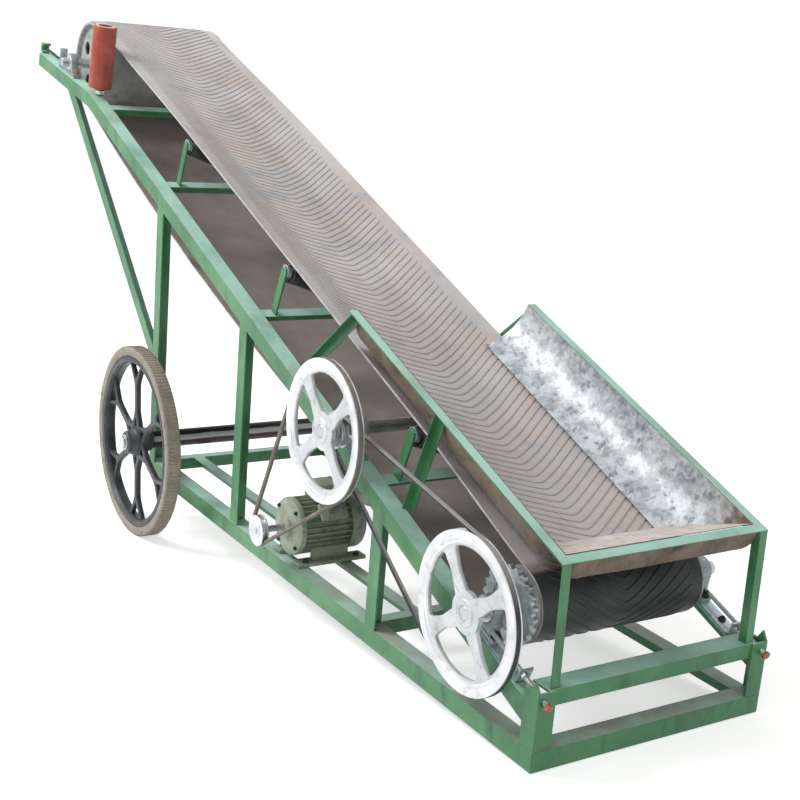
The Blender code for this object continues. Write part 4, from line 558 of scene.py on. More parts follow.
def linked(name, data):
    """New object in the scene."""
    made = bpy.data.objects.new(name, data)
    bpy.context.scene.collection.objects.link(made)
    return made


def evaluated(data, prepare=None):
    """Plain mesh of a curve or mesh, after what the function puts on its object."""
    holder = linked("holder", data)
    if prepare:
        prepare(holder)
    bpy.context.view_layer.update()
    mesh = bpy.data.meshes.new_from_object(holder.evaluated_get(bpy.context.evaluated_depsgraph_get()))
    bpy.data.objects.remove(holder, do_unlink=True)
    return mesh


def mesh_of(work, name):
    mesh = bpy.data.meshes.new(name)
    work.to_mesh(mesh)
    work.free()
    return mesh


def smoothed(mesh, angle):
    mesh.shade_smooth()
    mesh.set_sharp_from_angle(angle=math.radians(angle))
    return mesh


class Shape:
    """Points and faces gathered for one piece, with a finish number for each face."""

    def __init__(self):
        self.points = []
        self.faces = []
        self.finishes = []

    def add(self, points, faces, finish):
        start = len(self.points)
        self.points += points
        self.faces += [[start + index for index in face] for face in faces]
        self.finishes += [finish] * len(faces)

    def take(self, mesh, matrix, finish):
        """Add a mesh, moved by a matrix, and drop it."""
        points = [matrix @ vertex.co for vertex in mesh.vertices]
        self.add(points, [list(face.vertices) for face in mesh.polygons], finish)
        bpy.data.meshes.remove(mesh)

    def loft(self, rings, finish=0, closed=False):
        """Skin over rings of equal count, with end caps unless the last ring meets the first."""
        count = len(rings[0])
        faces = []
        for index in range(len(rings) if closed else len(rings) - 1):
            low = index * count
            high = (index + 1) % len(rings) * count
            for corner in range(count):
                other = (corner + 1) % count
                faces.append([low + corner, low + other, high + other, high + corner])
        if not closed:
            end = (len(rings) - 1) * count
            faces += [list(range(count))[::-1], list(range(end, end + count))]
        self.add([point for ring in rings for point in ring], faces, finish)

    def lathe(self, profile, centre, axis=Y_AXIS, steps=48, finish=0):
        """Closed profile of (radius, along) pairs turned about an axis through the centre."""
        ways = ring_points(Vector(), axis, 1.0, steps)
        self.loft([[centre + way * radius + axis * along for radius, along in profile] for way in ways],
                  finish, closed=True)

    def rod(self, start, end, radius, steps=24, finish=0, chamfer=None):
        """Round or, with 6 steps, hexagonal bar with chamfered ends."""
        cut = radius * 0.12 if chamfer is None else chamfer
        axis = (end - start).normalized()
        rows = ((start, radius - cut), (start + axis * cut, radius), (end - axis * cut, radius),
                (end, radius - cut))
        self.loft([ring_points(place, axis, size, steps) for place, size in rows], finish)

    def rippled(self, start, end, sizes, steps, finish=0):
        """Bar whose radius runs through a list of sizes, evenly spaced."""
        last = len(sizes) - 1
        self.loft([ring_points(part_way(start, end, index / last), (end - start).normalized(), size, steps)
                   for index, size in enumerate(sizes)], finish)

    def block(self, centre, size, x_axis=X_AXIS, edge=1.5 * MM, finish=0):
        """Box along an axis, Y and their square, with rounded edges."""
        work = bmesh.new()
        bmesh.ops.create_cube(work, size=1.0, matrix=Matrix.Diagonal((*size, 1.0)))
        bmesh.ops.bevel(work, geom=work.edges[:], offset=edge, segments=2, affect="EDGES", profile=0.5)
        self.take(mesh_of(work, "block"), frame_matrix(centre, x_axis, Y_AXIS), finish)

    def plate(self, outline, holes, thickness, matrix, edge=1.5 * MM, finish=0):
        """Flat outline with holes and rounded edges, drawn in its own XY plane."""
        curve = bpy.data.curves.new("outline", "CURVE")
        curve.dimensions = "2D"
        curve.fill_mode = "BOTH"
        curve.extrude = thickness / 2 - edge
        curve.bevel_depth = edge
        curve.bevel_resolution = 1
        curve.offset = -edge
        for loop in (outline, *holes):
            spline = curve.splines.new("POLY")
            spline.points.add(len(loop) - 1)
            for slot, (x, y) in zip(spline.points, loop):
                slot.co = (x, y, 0, 1)
            spline.use_cyclic_u = True
        mesh = evaluated(curve)
        bpy.data.curves.remove(curve)
        self.take(mesh, matrix, finish)

    def mesh(self, name):
        made = bpy.data.meshes.new(name)
        made.from_pydata([tuple(point) for point in self.points], [], self.faces)
        made.polygons.foreach_set("material_index", self.finishes)
        work = bmesh.new()
        work.from_mesh(made)
        bmesh.ops.remove_doubles(work, verts=work.verts, dist=0.000005)
        bmesh.ops.recalc_face_normals(work, faces=work.faces)
        work.to_mesh(made)
        work.free()
        return smoothed(made, 35)


def finished(name, shape, finishes, body):
    """Finished piece that rides on a body."""
    mesh = shape.mesh(name) if isinstance(shape, Shape) else shape
    for finish in finishes:
        mesh.materials.append(finish)
    made = linked(name, mesh)
    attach(made, body)
    return made


def piece(name, shape, finishes, body, node):
    """Finished piece that stands for a node."""
    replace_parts(finished(name, shape, finishes, body), node)


# Rows that repeat or wrap, as node trees

def new_tree(name, inputs):
    """Geometry tree with a mesh in and out. Gives its inputs' outputs, their identifiers and its end."""
    tree = bpy.data.node_groups.new(name, "GeometryNodeTree")
    tree.interface.new_socket("Geometry", in_out="OUTPUT", socket_type="NodeSocketGeometry")
    tree.interface.new_socket("Geometry", in_out="INPUT", socket_type="NodeSocketGeometry")
    sockets = {}
    for label, kind in inputs.items():
        socket = tree.interface.new_socket(label, in_out="INPUT", socket_type=f"NodeSocket{kind}")
        sockets[label] = socket.identifier
    return tree, tree.nodes.new("NodeGroupInput").outputs, sockets, tree.nodes.new("NodeGroupOutput")


def wrap_tree():
    """Repeats a flat solid along X and wraps the row round a surface by its UV map in metres."""
    tree, given, sockets, leave = new_tree("wrap_row", {
        "Solid": "Object", "Surface": "Object", "Count": "Int", "Spacing": "Float", "Loop": "Float",
        "Finish": "Material"})
    line = add(tree, "line", given["Count"], add(tree, "vector", given["Spacing"]))
    row = add(tree, "real", add(tree, "copies", line, add(tree, "shape_of", given["Solid"])))
    place = add(tree, "position")
    along = add(tree, "wrapped", add(tree, "x", place), given["Loop"])
    flat = add(tree, "vector", along, add(tree, "y", place))
    surface = add(tree, "shape_of", given["Surface"])
    uv = add(tree, "named_vector", "UVMap")
    spot = add(tree, "on_surface", surface, place, uv, flat)
    normal = add(tree, "on_surface", surface, add(tree, "normal"), uv, flat)
    lifted = add(tree, "moved", spot, add(tree, "scaled", normal, add(tree, "z", place)))
    done = add(tree, "set_finish", add(tree, "set_place", row, lifted), given["Finish"])
    tree.links.new(done, leave.inputs["Geometry"])
    return tree, sockets


def scatter_tree():
    """Puts one solid on each point, its Z along the point's own way, at the point's own size."""
    tree, given, sockets, leave = new_tree("scatter_solid", {"Solid": "Object", "Finish": "Material"})
    turn = add(tree, "turned", add(tree, "named_vector", "way"))
    copies = add(tree, "copies", given["Geometry"], add(tree, "shape_of", given["Solid"]), turn,
                 add(tree, "named_value", "size"))
    done = add(tree, "set_finish", add(tree, "real", copies), given["Finish"])
    tree.links.new(done, leave.inputs["Geometry"])
    return tree, sockets


WRAP = wrap_tree()
SCATTER = scatter_tree()


def through_tree(start, tree_and_sockets, solid, **inputs):
    """Plain mesh that a tree makes of a start mesh, a solid and named inputs."""
    tree, sockets = tree_and_sockets
    inputs["Solid"] = linked("solid", solid)

    def prepare(holder):
        modifier = holder.modifiers.new("tree", "NODES")
        modifier.node_group = tree
        for name, value in inputs.items():
            modifier[sockets[name]] = value

    made = evaluated(start, prepare)
    bpy.data.objects.remove(inputs["Solid"], do_unlink=True)
    made.materials.clear()
    return made


def wrapped_row(solid, surface, length, count, finish):
    """Row of a solid, closed round a surface whose UV map is that long."""
    holder = linked("surface", surface)
    made = through_tree(bpy.data.meshes.new("start"), WRAP, solid, Surface=holder, Count=count,
                        Spacing=length / count, Loop=length, Finish=finish)
    bpy.data.objects.remove(holder, do_unlink=True)
    return made


def mapped_face(work, corners, places, finish=0):
    """Face whose corners have these places on the UV map, in metres."""
    face = work.faces.new(corners)
    face.material_index = finish
    for loop, place in zip(face.loops, places):
        loop[work.loops.layers.uv.active].uv = place
    return face


# Belt

def trough_share(up):
    """1 where the idlers trough the belt, easing to 0 at the drums."""
    rise = (up - TAIL_DISTANCE) / (IDLER_DISTANCES[0] - TAIL_DISTANCE)
    fall = (HEAD_DISTANCE - up) / (HEAD_DISTANCE - IDLER_DISTANCES[-1])
    share = limited(min(rise, fall))
    return share * share * (3 - 2 * share)


def belt_rows():
    """Middle line of the belt as (up, out, trough share) rows, about 20 mm apart on its runs."""
    tail = TAIL_RADIUS + BELT_THICKNESS / 2 + BELT_LIFT
    head = HEAD_RADIUS + BELT_THICKNESS / 2 + BELT_LIFT
    run_steps, head_steps, tail_steps = 168, 28, 20
    rows = []
    for step in range(run_steps + 1):
        up = part_way(TAIL_DISTANCE, HEAD_DISTANCE, step / run_steps)
        rows.append((up, part_way(TAIL_OUT + tail, head, step / run_steps), trough_share(up)))
    for step in range(1, head_steps):
        out, forward = polar(head, math.pi * step / head_steps)
        rows.append((HEAD_DISTANCE + forward, out, 0.0))
    for step in range(run_steps + 1):
        share = step / run_steps
        slack = 4 * BELT_SAG * share * (1 - share)
        chord = part_way(-head, TAIL_OUT - tail, share)
        rows.append((part_way(HEAD_DISTANCE, TAIL_DISTANCE, share), chord - slack, 0.0))
    for step in range(1, tail_steps):
        out, forward = polar(tail, math.pi * step / tail_steps)
        rows.append((TAIL_DISTANCE - forward, TAIL_OUT - out, 0.0))
    return rows


def belt_columns():
    """Places across the belt, closer together at its troughed knees."""
    knee = CENTRE_WIDTH / 2
    side = [-BELT_WIDTH / 2, -0.235, -0.205, -0.170, -0.140, -knee - 0.018, -knee, -knee + 0.018, -0.050]
    return side + [0.0] + [-y for y in reversed(side)]


def belt_drop(y):
    """Depth of the trough below the belt's edge, with rounded knees."""
    slope = math.tan(TROUGH_ANGLE)
    reach = 0.018
    inward = BELT_WIDTH / 2 - abs(y)
    limit = (BELT_WIDTH - CENTRE_WIDTH) / 2
    if inward < limit - reach:
        return inward * slope
    if inward > limit + reach:
        return limit * slope
    share = (inward - limit + reach) / (2 * reach)
    return (limit - reach + 2 * reach * (share - share * share / 2)) * slope


def belt_mesh():
    """Closed skin of the belt, and its length. Its outer face has a UV map in metres, along and across."""
    across = belt_columns()
    columns = range(len(across))
    middles = [[on_boom(up, out + (EDGE_LIFT - belt_drop(y)) * share, y) for y in across]
               for up, out, share in belt_rows()]
    outer, inner = [], []
    for index, line in enumerate(middles):
        before = middles[index - 1]
        after = middles[(index + 1) % len(middles)]
        normals = [(line[min(len(line) - 1, column + 1)] - line[max(0, column - 1)]).cross(
            after[column] - before[column]).normalized() for column in columns]
        inner.append([line[column] - normals[column] * BELT_THICKNESS / 2 for column in columns])
        outer.append([inner[-1][column] + normals[column] * BELT_CARCASS for column in columns])
    work = bmesh.new()
    work.loops.layers.uv.new("UVMap")
    tops, lows = [[[work.verts.new(point) for point in line] for line in side] for side in (outer, inner)]
    length = 0.0
    # Faces that carry no ribs lie far off the map
    off_map = [(-50.0, 0.0)] * 4
    for index, (top, low) in enumerate(zip(tops, lows)):
        top_after, low_after = (side[(index + 1) % len(side)] for side in (tops, lows))
        start = length
        middle = len(across) // 2
        length += (outer[(index + 1) % len(outer)][middle] - outer[index][middle]).length
        for column in columns[:-1]:
            near, far = across[column], across[column + 1]
            mapped_face(work, (top[column], top_after[column], top_after[column + 1], top[column + 1]),
                        ((start, near), (length, near), (length, far), (start, far)))
            mapped_face(work, (low[column], low[column + 1], low_after[column + 1], low_after[column]),
                        off_map)
        for column in (0, -1):
            mapped_face(work, (top[column], low[column], low_after[column], top_after[column]), off_map, 1)
    bmesh.ops.recalc_face_normals(work, faces=work.faces)
    mesh = smoothed(mesh_of(work, "belt_skin"), 50)
    mark_run(mesh, len(outer) * len(across))
    return mesh, length


def mark_run(mesh, outer_count):
    """Attribute that is 1 on the carrying run, 0 on the tail and the return run, 0.5 on the inner side."""
    values = []
    for vertex in mesh.vertices:
        offset = vertex.co - BOOM_FOOT
        up, out = offset.dot(BOOM_DIR), offset.dot(BOOM_NORMAL)
        share = limited((up - 0.255) / 0.05)
        share *= limited((out - 0.07) / 0.03) if up < HEAD_DISTANCE else limited((out + 0.12) / 0.10)
        values.append(share if vertex.index < outer_count else 0.5)
    mesh.attributes.new("belt_run", "FLOAT", "POINT").data.foreach_set("value", values)


def chevron_mesh():
    """One V rib, flat, its point towards the hopper, cut into short lengths along both arms."""
    foot, crown, sunk, steps = 5.2 * MM, 3.4 * MM, -0.6 * MM, 22
    section = ((-foot, sunk), (-crown, RIB_HEIGHT), (crown, RIB_HEIGHT), (foot, sunk))
    rings = []
    for step in range(-steps, steps + 1):
        y = math.copysign(RIB_REACH * (abs(step) / steps) ** 1.25, step)
        fade = 1.0 if abs(step) < steps else 0.35
        back = (math.hypot(y, RIB_NOSE) - RIB_NOSE) * math.tan(RIB_SLOPE)
        rings.append([Vector((back + x, y, z * fade)) for x, z in section])
    shape = Shape()
    shape.loft(rings)
    return shape.mesh("chevron")


def belt():
    mesh, length = belt_mesh()
    ribs = smoothed(wrapped_row(chevron_mesh(), mesh, length, round(length / RIB_SPACING), BELT_RIBS), 30)
    mark_run(ribs, len(ribs.vertices))
    piece("belt_skin", mesh, (BELT_COVER, BELT_EDGE), "frame", "belt")
    finished("belt_ribs", ribs, (BELT_RIBS,), "frame")


# Wheels

def wheel_windows():
    """Openings between and inside six spokes that fork towards the hub and towards the rim."""
    span = math.tau / 6
    fork = FORK_WIDTH / 2
    hub = HUB_RADIUS + ARM / 4
    edge = (fork + ARM / 2) / RIM_INNER
    hub_edge = span / 2 - ARM / hub
    inner_edge = (fork - ARM / 2) / RIM_INNER
    side = [(HUB_FORK, SPOKE_HALF, 0.030), (RIM_FORK, SPOKE_HALF, 0.060), (RIM_INNER, fork + ARM / 2, 0.010)]
    holes = []
    for index in range(6):
        turn = span * (index + 0.5)
        corners = [(polar(radius, turn + span - offset / radius), curve)
                   for radius, offset, curve in reversed(side)]
        corners.append((polar(hub + ARM, turn + span / 2), 0.006))
        corners += [(polar(radius, turn + offset / radius), curve) for radius, offset, curve in side]
        corners += [(point, 0) for point in arc(RIM_INNER, turn + edge, turn + span - edge, 6)[1:-1]]
        rim = [(point, 0) for point in arc(RIM_INNER, turn - inner_edge, turn + inner_edge, 4)]
        rim[0] = (rim[0][0], 0.006)
        rim[-1] = (rim[-1][0], 0.006)
        holes += [
            rounded(corners, 5),
            rounded([(polar(HUB_FORK - ARM, turn), 0.006), (polar(hub, turn + hub_edge), 0.004),
                     (polar(hub, turn - hub_edge), 0.004)], 4),
            rounded([(polar(RIM_FORK + ARM, turn), 0.008), *rim], 4),
        ]
    return holes


def tyre_profile():
    """Solid tyre: flat crown, cut down under the tread, round shoulders and a bead line on each side."""
    half, corner = TYRE_WIDTH / 2, 0.010
    bead = half - 1.0 * MM
    rows = [(RIM_RADIUS + 0.0005, half - 0.004), (RIM_RADIUS + 0.006, bead), (WHEEL_RADIUS - 0.022, bead),
            (WHEEL_RADIUS - 0.020, half)]
    rows += [(WHEEL_RADIUS - corner + x, half - corner + y) for x, y in arc(corner, math.pi / 2, 0, 6)]
    return mirrored([(radius - TREAD_DEPTH if radius > WHEEL_RADIUS - 0.004 else radius, along)
                     for radius, along in rows])


def tread_block():
    """Flat block that crosses the tyre in two slanted halves."""
    shape = Shape()
    for sign in (-1, 1):
        rings = []
        for step in range(5):
            y = 0.0015 + 0.0195 * step / 4
            rings.append([Vector((y * 0.25 + x, sign * y, z)) for x, z in
                          ((-3.6 * MM, -0.5 * MM), (-3.0 * MM, TREAD_DEPTH), (3.0 * MM, TREAD_DEPTH),
                           (3.6 * MM, -0.5 * MM))])
        shape.loft(rings)
    return shape.mesh("tread_block")


def ring_strip(radius, half, steps=180):
    """Cylinder strip about Y with a UV map in metres, for a row to be wrapped round, and its length."""
    length = math.tau * radius
    work = bmesh.new()
    work.loops.layers.uv.new("UVMap")
    rows = [[work.verts.new((x, y, z)) for y in (-half, half)] for x, z in circle(radius, steps)]
    for step in range(steps):
        after = rows[(step + 1) % steps]
        low, high = length * step / steps, length * (step + 1) / steps
        face = mapped_face(work, (rows[step][0], rows[step][1], after[1], after[0]),
                           ((low, -half), (low, half), (high, half), (high, -half)))
        face.normal_update()
        if face.normal.dot(face.calc_center_median()) < 0:
            face.normal_flip()
    mesh = mesh_of(work, "ring_strip")
    mesh.shade_smooth()
    return mesh, length


def wheels():
    """Cast wheels with forked spokes, a deep rim and a stepped hub, and their solid tyres."""
    edge = TYRE_WIDTH / 2 - 0.004
    rim = [(RIM_INNER - 0.001, 0.009), (RIM_INNER + 0.001, edge - 0.005), (RIM_INNER + 0.006, edge),
           (RIM_RADIUS - 0.003, edge), (RIM_RADIUS, edge - 0.002)]
    hub = [(0.0166, 0.045), (0.034, 0.045), (0.037, 0.042), (0.038, 0.028), (0.045, 0.018), (0.049, 0.010)]
    hub_foot = [(0.050, 0.0115), (0.053, 0.010)]
    for side, sign in SIDES:
        centre = at_y(AXES[f"wheel_{side}_spin"], sign * WHEEL_MIDDLE)
        body = f"wheel_{side}_body"
        tyre = Shape()
        tyre.lathe(tyre_profile(), centre, steps=120)
        piece(f"solid_tyre_{side}", tyre, (TYRE,), body, f"tyre_{side}")
        strip, length = ring_strip(WHEEL_RADIUS - TREAD_DEPTH, TYRE_WIDTH / 2)
        tread = wrapped_row(tread_block(), strip, length, TREAD_COUNT, TREAD)
        tread.transform(Matrix.Translation(centre))
        finished(f"tyre_tread_{side}", tread, (TREAD,), body)
        wheel = Shape()
        wheel.lathe(mirrored(rim), centre, steps=120)
        wheel.plate(circle(RIM_INNER + 0.010, 96), [circle(0.026, 24), *wheel_windows()], 0.018,
                    frame_matrix(centre, X_AXIS, Z_AXIS), 4 * MM)
        for profile in (hub, hub_foot):
            wheel.lathe(mirrored(profile), centre)
        piece(f"cast_wheel_{side}", wheel, (CASTING,), body, f"wheel_{side}")


# Drive

def v_groove(radius, half):
    """Rows of a pulley's rim, from its face down to the middle of its V groove."""
    mouth = V_BELT_TOP / 2 + 0.3 * MM
    return [(radius - 0.001, half), (radius, half - 0.001), (radius, mouth), (radius - 0.012, mouth / 2)]


def spoke_window(turn, inner, outer):
    """Opening between two flared pulley spokes."""
    half, flared = 0.0150, 0.0240
    span = math.tau / 4
    side = [(inner, flared, 0.020), ((inner + outer) / 2, half, 0.080), (outer, flared, 0.020)]
    end = turn + span
    outer_arc = arc(outer, turn + flared / outer, end - flared / outer, 10)[1:-1]
    inner_arc = arc(inner, end - flared / inner, turn + flared / inner, 6)[1:-1]
    corners = [(polar(radius, turn + offset / radius), curve) for radius, offset, curve in side]
    corners += [(point, 0) for point in outer_arc]
    corners += [(polar(radius, end - offset / radius), curve) for radius, offset, curve in reversed(side)]
    corners += [(point, 0) for point in inner_arc]
    return rounded(corners)


def big_pulley(word, centre, turn, body):
    """Sand cast pulley with a turned rim, a ledge inside it and a boss."""
    half = 0.011
    inner = PULLEY_RADIUS - 0.024
    shape = Shape()
    rim = [(inner - 0.008, 0.006), (inner - 0.001, 0.0085), (inner, half - 0.001), (inner + 0.002, half),
           *v_groove(PULLEY_RADIUS, half)]
    shape.lathe(mirrored(rim), centre, steps=128, finish=1)
    windows = [spoke_window(turn + math.tau * index / 4, 0.050, inner - 0.014) for index in range(4)]
    shape.plate(circle(inner - 0.004, 96), [circle(0.030, 24), *windows], 0.0117,
                frame_matrix(centre, X_AXIS, Z_AXIS), 2.6 * MM)
    boss = [(0.0179, half), (0.031, half), (0.034, half - 0.003), (0.052, 0.0062)]
    shape.lathe(mirrored(boss), centre, steps=56)
    piece(f"cast_pulley_{word}", shape, (ALUMINIUM, TURNED), body, f"{word}_pulley")


def small_pulley(radius, bore, centre):
    """Turned V pulley with two dished flanges."""
    half = V_BELT_TOP / 2 + 4.3 * MM
    shape = Shape()
    dish = [(bore, half), (bore + 0.009, half), (bore + 0.010, half - 0.003), (radius * 0.66, half - 0.003),
            (radius * 0.72, half), *v_groove(radius, half)]
    shape.lathe(mirrored(dish), centre, steps=64)
    return shape


def v_belt(name, node, one, radius_one, two, radius_two, y, finish):
    """Wrapped V-belt round two pulleys, a little proud of them."""
    proud = 1.2 * MM
    arm = two - one
    facing = math.atan2(arm.z, arm.x)
    spread = math.acos((radius_one - radius_two) / math.hypot(arm.x, arm.z))
    stations = [(one, radius_one, angle) for angle in turns(facing + spread, facing + math.tau - spread, 40)]
    stations += [(two, radius_two, angle) for angle in turns(facing - spread, facing + spread, 56)]
    top, low, deep, edge = V_BELT_TOP / 2, V_BELT_TOP * 0.31, V_BELT_DEPTH, 0.6 * MM
    section = ((edge, top - 0.0006), (0, top - 0.0014), (0, -top + 0.0014), (edge, -top + 0.0006),
               (0.0016, -top), (deep, -low), (deep, low), (0.0016, top))
    rings = []
    for centre, radius, angle in stations:
        out = Vector((math.cos(angle), 0, math.sin(angle)))
        rings.append([at_y(centre, y + across) + out * (radius + proud - depth)
                      for depth, across in section])
    shape = Shape()
    shape.loft(rings, closed=True)
    piece(name, shape, (finish,), "frame", node)


def drive():
    """Pulleys, jackshaft, the motor's pulley with its shaft end, both V-belts and the toothed ring."""
    jack, tail, motor_axis = AXES["jackshaft_spin"], AXES["tail_drum_spin"], AXES["motor_spin"]
    big_pulley("lower", at_y(tail, LOWER_PULLEY_Y), LOWER_PULLEY_TURN, "tail_drum_body")
    big_pulley("upper", at_y(jack, UPPER_PULLEY_Y), UPPER_PULLEY_TURN, "jackshaft_body")
    piece("grooved_pulley_small", small_pulley(SMALL_PULLEY_RADIUS, SHAFT_BORE, at_y(jack, LOWER_PULLEY_Y)),
          (TURNED,), "jackshaft_body", "small_pulley")
    shaft = Shape()
    shaft.rod(at_y(jack, UPPER_PULLEY_Y - 0.011), at_y(jack, HALF + 0.020), SHAFT_RADIUS, 48, 0, 1.2 * MM)
    piece("turned_jackshaft", shaft, (SHAFT_STEEL,), "jackshaft_body", "jackshaft")
    rotor = small_pulley(MOTOR_PULLEY_RADIUS, 0.010, at_y(motor_axis, UPPER_PULLEY_Y))
    low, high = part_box("motor_pulley")
    rotor.rod(at_y(motor_axis, low.y), at_y(motor_axis, high.y), 0.0095, 32, 1)
    piece("motor_v_pulley", rotor, (TURNED, SHAFT_STEEL), "motor_rotor", "motor_pulley")
    v_belt("v_belt_loop_motor", "v_belt_motor", motor_axis, MOTOR_PULLEY_RADIUS, jack, PULLEY_RADIUS,
           UPPER_PULLEY_Y, V_BELT)
    v_belt("v_belt_loop_drive", "v_belt_drive", jack, SMALL_PULLEY_RADIUS, tail, PULLEY_RADIUS,
           LOWER_PULLEY_Y, V_BELT_DUST_AND_TOP_LIGHT)
    toothed_ring(at_y(tail, -(DRUM_HALF + 0.0073)))


def toothed_ring(centre):
    """Cast ring of round-topped teeth with a recessed face."""
    teeth = 22
    tooth_rows = ((0.0, 0.089), (0.16, 0.0885), (0.30, 0.0895), (0.40, 0.0945), (0.50, 0.0975),
                  (0.64, 0.0980), (0.78, 0.0975), (0.88, 0.0945))
    outline = [polar(radius, math.tau * (tooth + share) / teeth) for tooth in range(teeth)
               for share, radius in tooth_rows]
    shape = Shape()
    shape.plate(outline, [circle(0.060, 48)], 0.0138, frame_matrix(centre, X_AXIS, Z_AXIS), 0.8 * MM)
    shape.lathe(mirrored([(0.026, 0.0045), (0.064, 0.0045)]), centre)
    shape.lathe(mirrored([(SHAFT_BORE, 0.0069), (0.030, 0.0069)]), centre, steps=40)
    piece("cast_toothed_ring", shape, (RING_STEEL,), "tail_drum_body", "toothed_ring")


def drum(end, radius):
    """Drum shell with set-in end discs, each with four holes and a welded boss."""
    axis = AXES[f"{end}_drum_spin"]
    inner = radius - 0.008
    reach = DRUM_HALF - 0.0004
    shape = Shape()
    shape.lathe(mirrored([(inner, reach), (radius - 0.0013, reach), (radius - 0.0003, reach - 0.001)]),
                at_y(axis, 0), steps=96)
    holes = [circle(radius * 0.17, 24, polar(radius * 0.56, math.tau * (index + 0.5) / 4))
             for index in range(4)]
    for _, sign in SIDES:
        face = at_y(axis, sign * (reach - 0.020))
        shape.plate(circle(inner + 0.003, 80), holes, 0.008, frame_matrix(face, X_AXIS, Z_AXIS), 1 * MM)
        shape.lathe(mirrored([(0.016, 0.014), (0.030, 0.014), (0.032, 0.012)]), face, steps=40)
    low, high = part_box(f"{end}_drum")
    shape.rod(at_y(axis, low.y), at_y(axis, high.y), SHAFT_RADIUS, 48, 1, 1.2 * MM)
    piece(f"welded_drum_{end}", shape, (DRUM, SHAFT_STEEL), f"{end}_drum_body", f"{end}_drum")


# Bearings and take-ups

def pillow_block(shape, point, up_axis, along_axis, drop):
    """Cast housing with a ribbed foot, an insert ring and a grease nipple."""
    width = 0.034
    outline = arc(0.0355, 0.0, math.pi, 28)
    outline += [(-0.0375, -0.010), (-0.046, 0.012 - drop), (0.046, 0.012 - drop), (0.0375, -0.010)]
    # The outline's second axis is the up axis, so the plate's thickness lies along Y
    place = frame_matrix(point, along_axis, up_axis)
    shape.plate(outline, [circle(0.0235, 28)], width - 0.004, place, 2.4 * MM)
    shape.block(point - up_axis * (drop - 0.006), (0.130, width, 0.0118), along_axis, 2.4 * MM)
    insert = [(SHAFT_BORE, 0.0168), (0.0270, 0.0168), (0.0290, 0.0160)]
    shape.lathe(mirrored(insert), point, steps=40, finish=1)
    shape.rod(point + up_axis * 0.033, point + up_axis * 0.0355, 0.004, 6, 2)


def threaded(shape, start, end, radius, finish):
    """Bar whose radius rises and falls each millimetre, a coarse thread."""
    count = int((end - start).length / MM)
    sizes = [radius if index % 2 else radius - 0.7 * MM for index in range(count + 1)]
    shape.rippled(start, end, sizes, 12, finish)


def rail_bearings():
    for name, up, out, seat, bolts in (("tail", TAIL_DISTANCE, TAIL_OUT, 0.0053, DARK),
                                       ("jack", JACK_DISTANCE, JACK_OUT, 0.0, PALE)):
        for side, sign in SIDES:
            y = sign * FLANGE_MIDDLE
            shape = Shape()
            pillow_block(shape, on_boom(up, out, y), BOOM_NORMAL, -BOOM_DIR, out - seat - 0.3 * MM)
            piece(f"pillow_block_{name}_{side}", shape, (BEARING, TURNED, PALE_BOLT), "frame",
                  f"{name}_bearing_{side}")
            bolts += [(on_boom(up + shift, seat + 0.0122, y), BOOM_NORMAL, 1.25) for shift in BOLT_SHIFTS]


def tail_takeups():
    """Zinc plates under the tail bearings, with their tabs, threaded screws and rusty heads."""
    low, high = 0.095, TAIL_DISTANCE + 0.065
    screw_out = 0.027
    for side, sign in SIDES:
        y = sign * FLANGE_MIDDLE
        screw_y = sign * (HALF - 0.017)
        shape = Shape()
        shape.block(on_boom((low + high) / 2, 0.0028, y), (high - low, 0.038, 0.005), -BOOM_DIR, 0.6 * MM)
        shape.block(on_boom(low + 0.0025, 0.0192, y), (0.005, 0.038, 0.0376), -BOOM_DIR, 0.6 * MM)
        front = on_boom(-0.0050, screw_out, screw_y)
        threaded(shape, front, on_boom(0.2335, screw_out, screw_y), 0.006, 1)
        shape.rod(front - BOOM_DIR * 0.0080, front + BOOM_DIR * 0.002, 0.0108, 6, 2, NUT_CHAMFER)
        nut = on_boom(low - 0.004, screw_out, screw_y)
        shape.rod(nut - BOOM_DIR * 0.008, nut, 0.0105, 6, 1, NUT_CHAMFER)
        piece(f"takeup_plate_{side}", shape, (ZINC_PLATE, PALE_BOLT, RUSTY_BOLT), "frame",
              f"tail_takeup_{side}")
        DARK.append((on_boom(low + 0.045, 0.0054, y), BOOM_NORMAL, 1.0))


def head_bearings():
    """Head bearings, each on a plate with an upright end and a long threaded screw to the rail's hook."""
    offset = AXES["head_drum_spin"] - on_boom(BOOM_LOWER_LENGTH, 0)
    along, out = offset.dot(TIP_DIR), offset.dot(TIP_NORMAL)
    low, high = along - 0.065, along + 0.120
    screw_out = 0.022
    for side, sign in SIDES:
        y = sign * FLANGE_MIDDLE
        shape = Shape()
        pillow_block(shape, on_tip(along, out, y), TIP_NORMAL, -TIP_DIR, out - 0.0043)
        shape.block(on_tip((low + high) / 2, 0.00245, y), (high - low, 0.034, 0.0043), -TIP_DIR, 0.6 * MM, 3)
        shape.block(on_tip(high - 0.002, 0.0378, y), (0.004, 0.030, 0.0750), -TIP_DIR, 0.8 * MM, 3)
        threaded(shape, on_tip(along + 0.030, screw_out, y), on_tip(0.634, screw_out, y), 0.005, 4)
        for nut in (high + 0.002, high - 0.012):
            face = on_tip(nut, screw_out, y)
            shape.rod(face, face + TIP_DIR * 0.008, 0.0095, 6, 4, NUT_CHAMFER)
        piece(f"head_block_{side}", shape, (BEARING, TURNED, PALE_BOLT, ZINC_PLATE, DARK_BOLT), "frame",
              f"head_bearing_{side}")
        RUSTY.extend((on_tip(along + shift, 0.0165, y), TIP_NORMAL, 1.25) for shift in BOLT_SHIFTS)


# Motor

